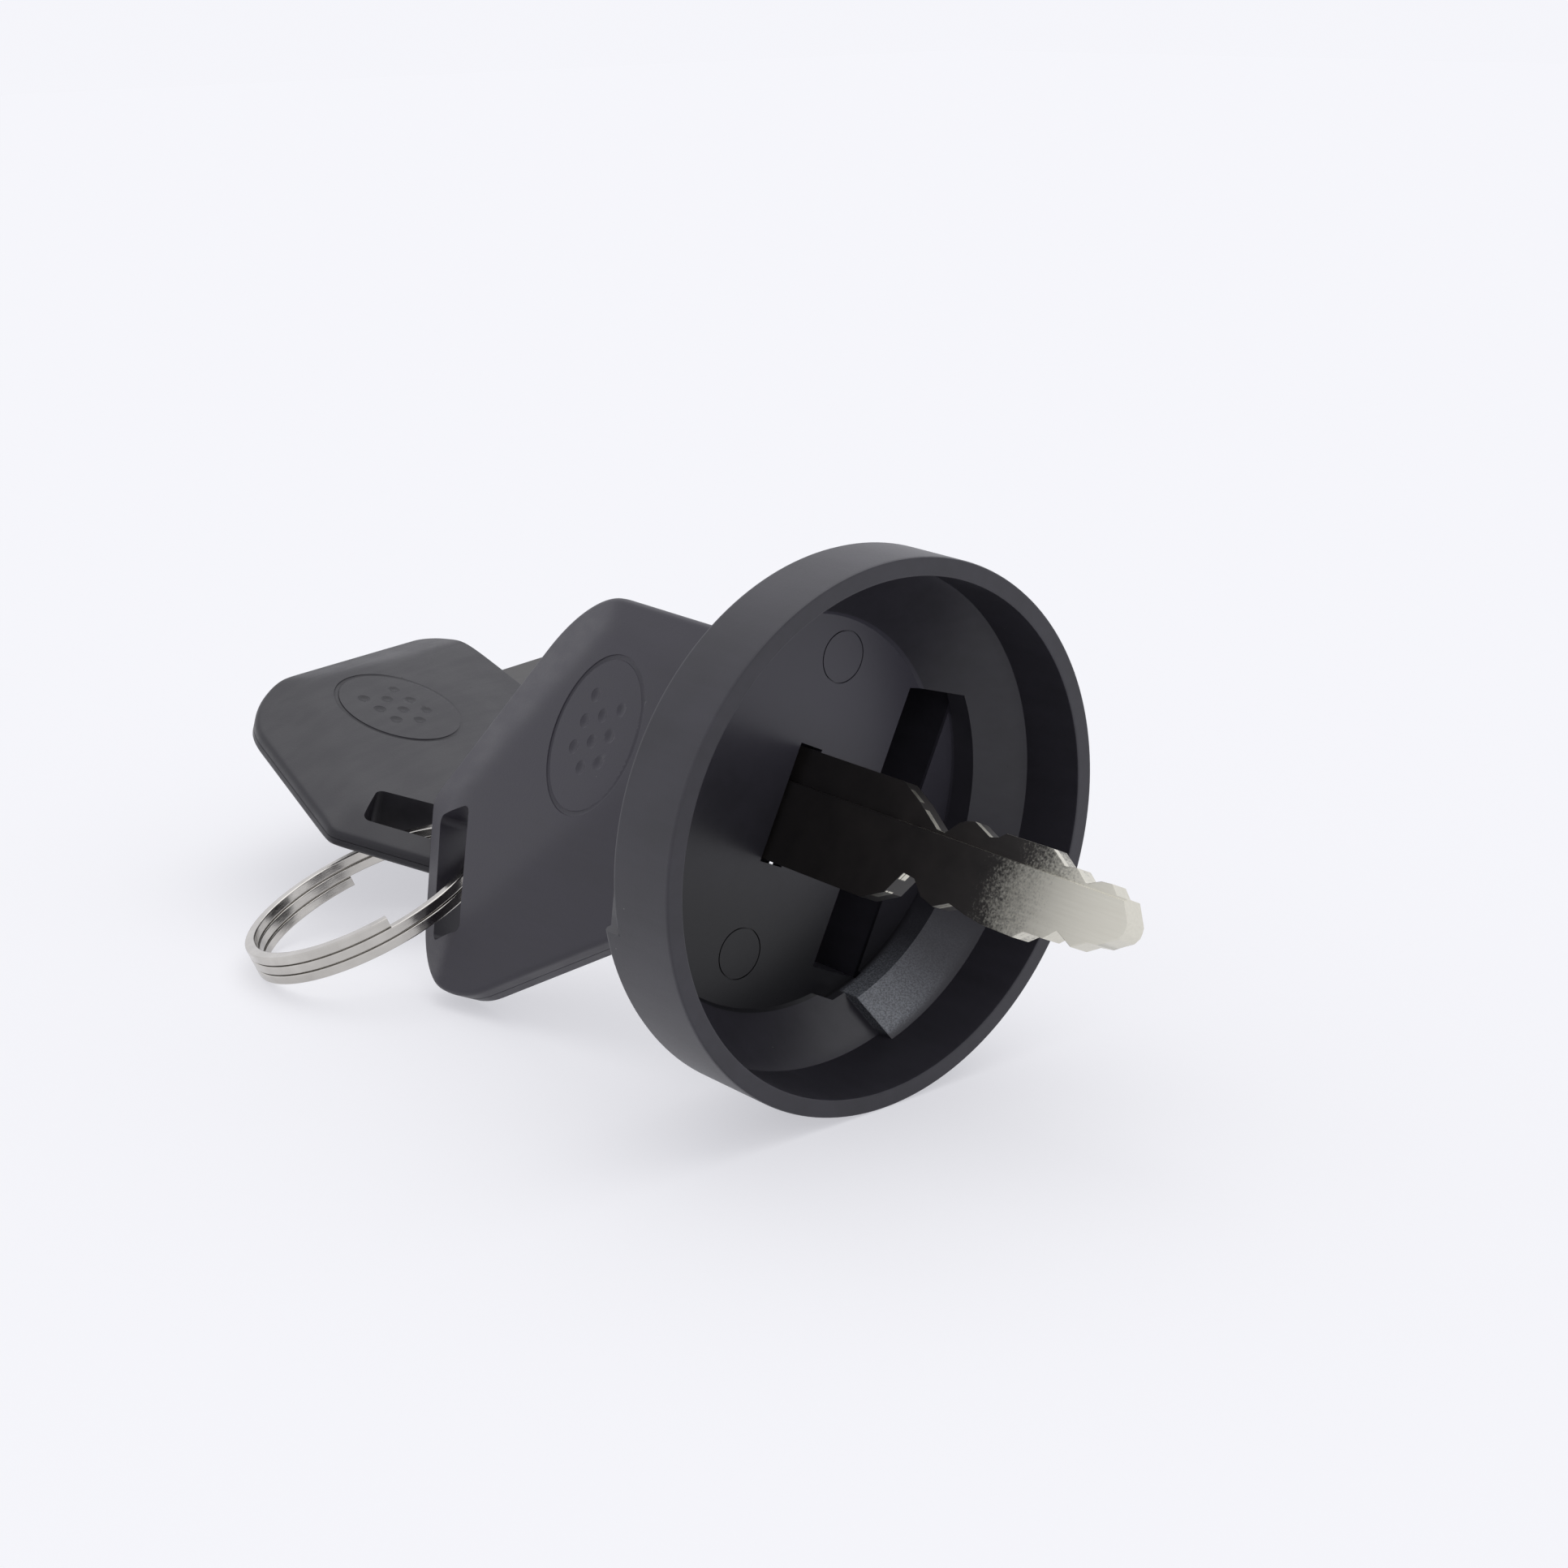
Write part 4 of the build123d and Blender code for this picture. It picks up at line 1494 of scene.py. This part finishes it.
@dataclass(frozen=True)
class PaperStage:
    """White paper floor under an even tent of light, with one broad soft source overhead.

    Attributes:
        background: Colour that the camera, gloss and metal see behind everything.
        tent: Colour of the light from all round.
        sky_power: Strength of the overhead source.
        sky_angle: Its width, in degrees.
        sky_aim: Direction of its light.
        sky_share: Share of it that falls square on the floor.
        paper: Reflectance of the floor.
        glow: Share of the floor's own light that falls on other things.
        paper_rough: Roughness of the floor.
        reach: Half size of the floor, in metres.
    """

    background: Point3 = (0.916, 0.918, 0.962)
    tent: Point3 = (0.60, 0.605, 0.635)
    sky_power: float = 0.80
    sky_angle: float = 70.0
    sky_aim: Point3 = (0.1, -0.25, -1.0)
    sky_share: float = 0.93
    paper: float = 0.50
    glow: float = 0.4
    paper_rough: float = 0.9
    reach: float = 2.0

    def seen(self, tree: bpy.types.NodeTree) -> Sock:
        """1 for camera and glossy rays, 0 for the others, in a node tree."""
        path = tree.nodes.new("ShaderNodeLightPath")
        return Sock(tree, path.outputs["Is Camera Ray"]).math("MAXIMUM", Sock(tree, path.outputs["Is Glossy Ray"]))

    def floor_material(self) -> bpy.types.Material:
        """Matt paper whose own light fills up to the background, so that only its soft shadows show.

        Returns:
            The material.
        """
        material = bpy.data.materials.new("floor_paper")
        material.use_nodes = True
        tree = material.node_tree
        inputs = tree.nodes["Principled BSDF"].inputs
        lit = [self.paper * (tent + self.sky_power * self.sky_share / math.pi) for tent in self.tent]
        missing = [max(0.0, goal - value) for goal, value in zip(self.background, lit)]
        inputs["Base Color"].default_value = (self.paper, self.paper, self.paper, 1.0)
        inputs["Roughness"].default_value = self.paper_rough
        inputs["Specular IOR Level"].default_value = 0.0
        inputs["Emission Color"].default_value = (*missing, 1.0)
        tree.links.new(self.seen(tree).math("MAXIMUM", self.glow).out, inputs["Emission Strength"])
        return material

    def build_floor(self) -> None:
        """Lay the floor at z = 0."""
        r = self.reach
        floor = mesh_object("floor", [(-r, -r, 0), (r, -r, 0), (r, r, 0), (-r, r, 0)], [(0, 1, 2, 3)])
        floor.data.materials.append(self.floor_material())

    def build_light(self) -> None:
        """Hang the tent and the overhead source."""
        world = bpy.data.worlds.new("tent")
        bpy.context.scene.world = world
        world.use_nodes = True
        tree = world.node_tree
        shader = tree.nodes["Background"]
        shader.inputs["Strength"].default_value = 1.0
        tree.links.new(self.seen(tree).mix(self.tent, self.background).out, shader.inputs["Color"])
        data = bpy.data.lights.new("overhead", "SUN")
        data.energy = self.sky_power
        data.angle = math.radians(self.sky_angle)
        lamp = bpy.data.objects.new("overhead", data)
        bpy.context.scene.collection.objects.link(lamp)
        lamp.rotation_euler = Vector(self.sky_aim).to_track_quat("-Z", "Y").to_euler()


@dataclass(frozen=True)
class Viewpoint:
    """Camera that frames the set from the open side of the cap.

    Attributes:
        place: The camera's place, in millimetres.
        look: Direction that it looks in.
        up: Direction that is upwards in the picture, before it is squared to look.
        lens: Focal length, in millimetres.
        sensor: Width of the sensor, in millimetres.
        nearest: Distance below which nothing is drawn, in metres.
    """

    place: Point3 = (235.681, -204.45, 107.494)
    look: Point3 = (-0.7253, 0.6307, -0.276)
    up: Point3 = (-0.1987, 0.192, 0.9611)
    lens: float = 67.08
    sensor: float = 36.0
    nearest: float = 0.01

    def build(self) -> None:
        """Set up the camera and the plain view transform."""
        data = bpy.data.cameras.new("camera")
        data.lens = self.lens
        data.sensor_width = self.sensor
        data.clip_start = self.nearest
        camera = bpy.data.objects.new("camera", data)
        bpy.context.scene.collection.objects.link(camera)
        back = -Vector(self.look).normalized()
        up = Vector(self.up)
        up = (up - back * up.dot(back)).normalized()
        turn = Matrix((up.cross(back), up, back)).transposed().to_4x4()
        camera.matrix_world = Matrix.Translation(Vector(self.place) * MM) @ turn
        bpy.context.scene.camera = camera
        bpy.context.scene.view_settings.view_transform = "Standard"


# --------------------------------------------------------------------------- main


def main() -> None:
    """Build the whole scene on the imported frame."""
    logging.basicConfig(level=logging.INFO)
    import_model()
    # The two heads are one plastic in two tones: painted light on the first head, and painted shade on the spare, which
    # is darker.
    lit_first_plastic = HeadPlastic("head_black_plastic", CAP_POSE, tone=0.034)
    shaded_spare_plastic = HeadPlastic("head_black_plastic_painted_shade", SPARE_POSE, tone=0.014)
    first_steel = BladeSteel("blade_steel", CAP_POSE)
    spare_steel = BladeSteel("blade_steel_spare", SPARE_POSE)
    pieces = [
        (CapMoulding().build(CapPlastic()), "cap", "cap", "cap_plastic"),
        (KeyHead("key_head_first", CAP_POSE).build(lit_first_plastic), "key_1", "key_1_head", "head_plastic"),
        (KeyBlade("key_blade_first", CAP_POSE).build(first_steel), "key_1", "key_1_blade", "blade_steel"),
        (SplitRing().build(RingNickel()), "ring", "split_ring", "ring_plating"),
        (KeyHead("key_head_spare", SPARE_POSE).build(shaded_spare_plastic), "key_2", "key_2_head", "head_plastic"),
        (KeyBlade("key_blade_spare", SPARE_POSE).build(spare_steel), "key_2", "key_2_blade", "blade_steel"),
    ]
    for piece, body, node, slot in pieces:
        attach(piece, body)
        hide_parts(node)
        LOG.info("%s: %d faces", piece.name, len(piece.data.polygons))
    stage = PaperStage()
    stage.build_floor()
    stage.build_light()
    Viewpoint().build()


if __name__ == "__main__":
    main()
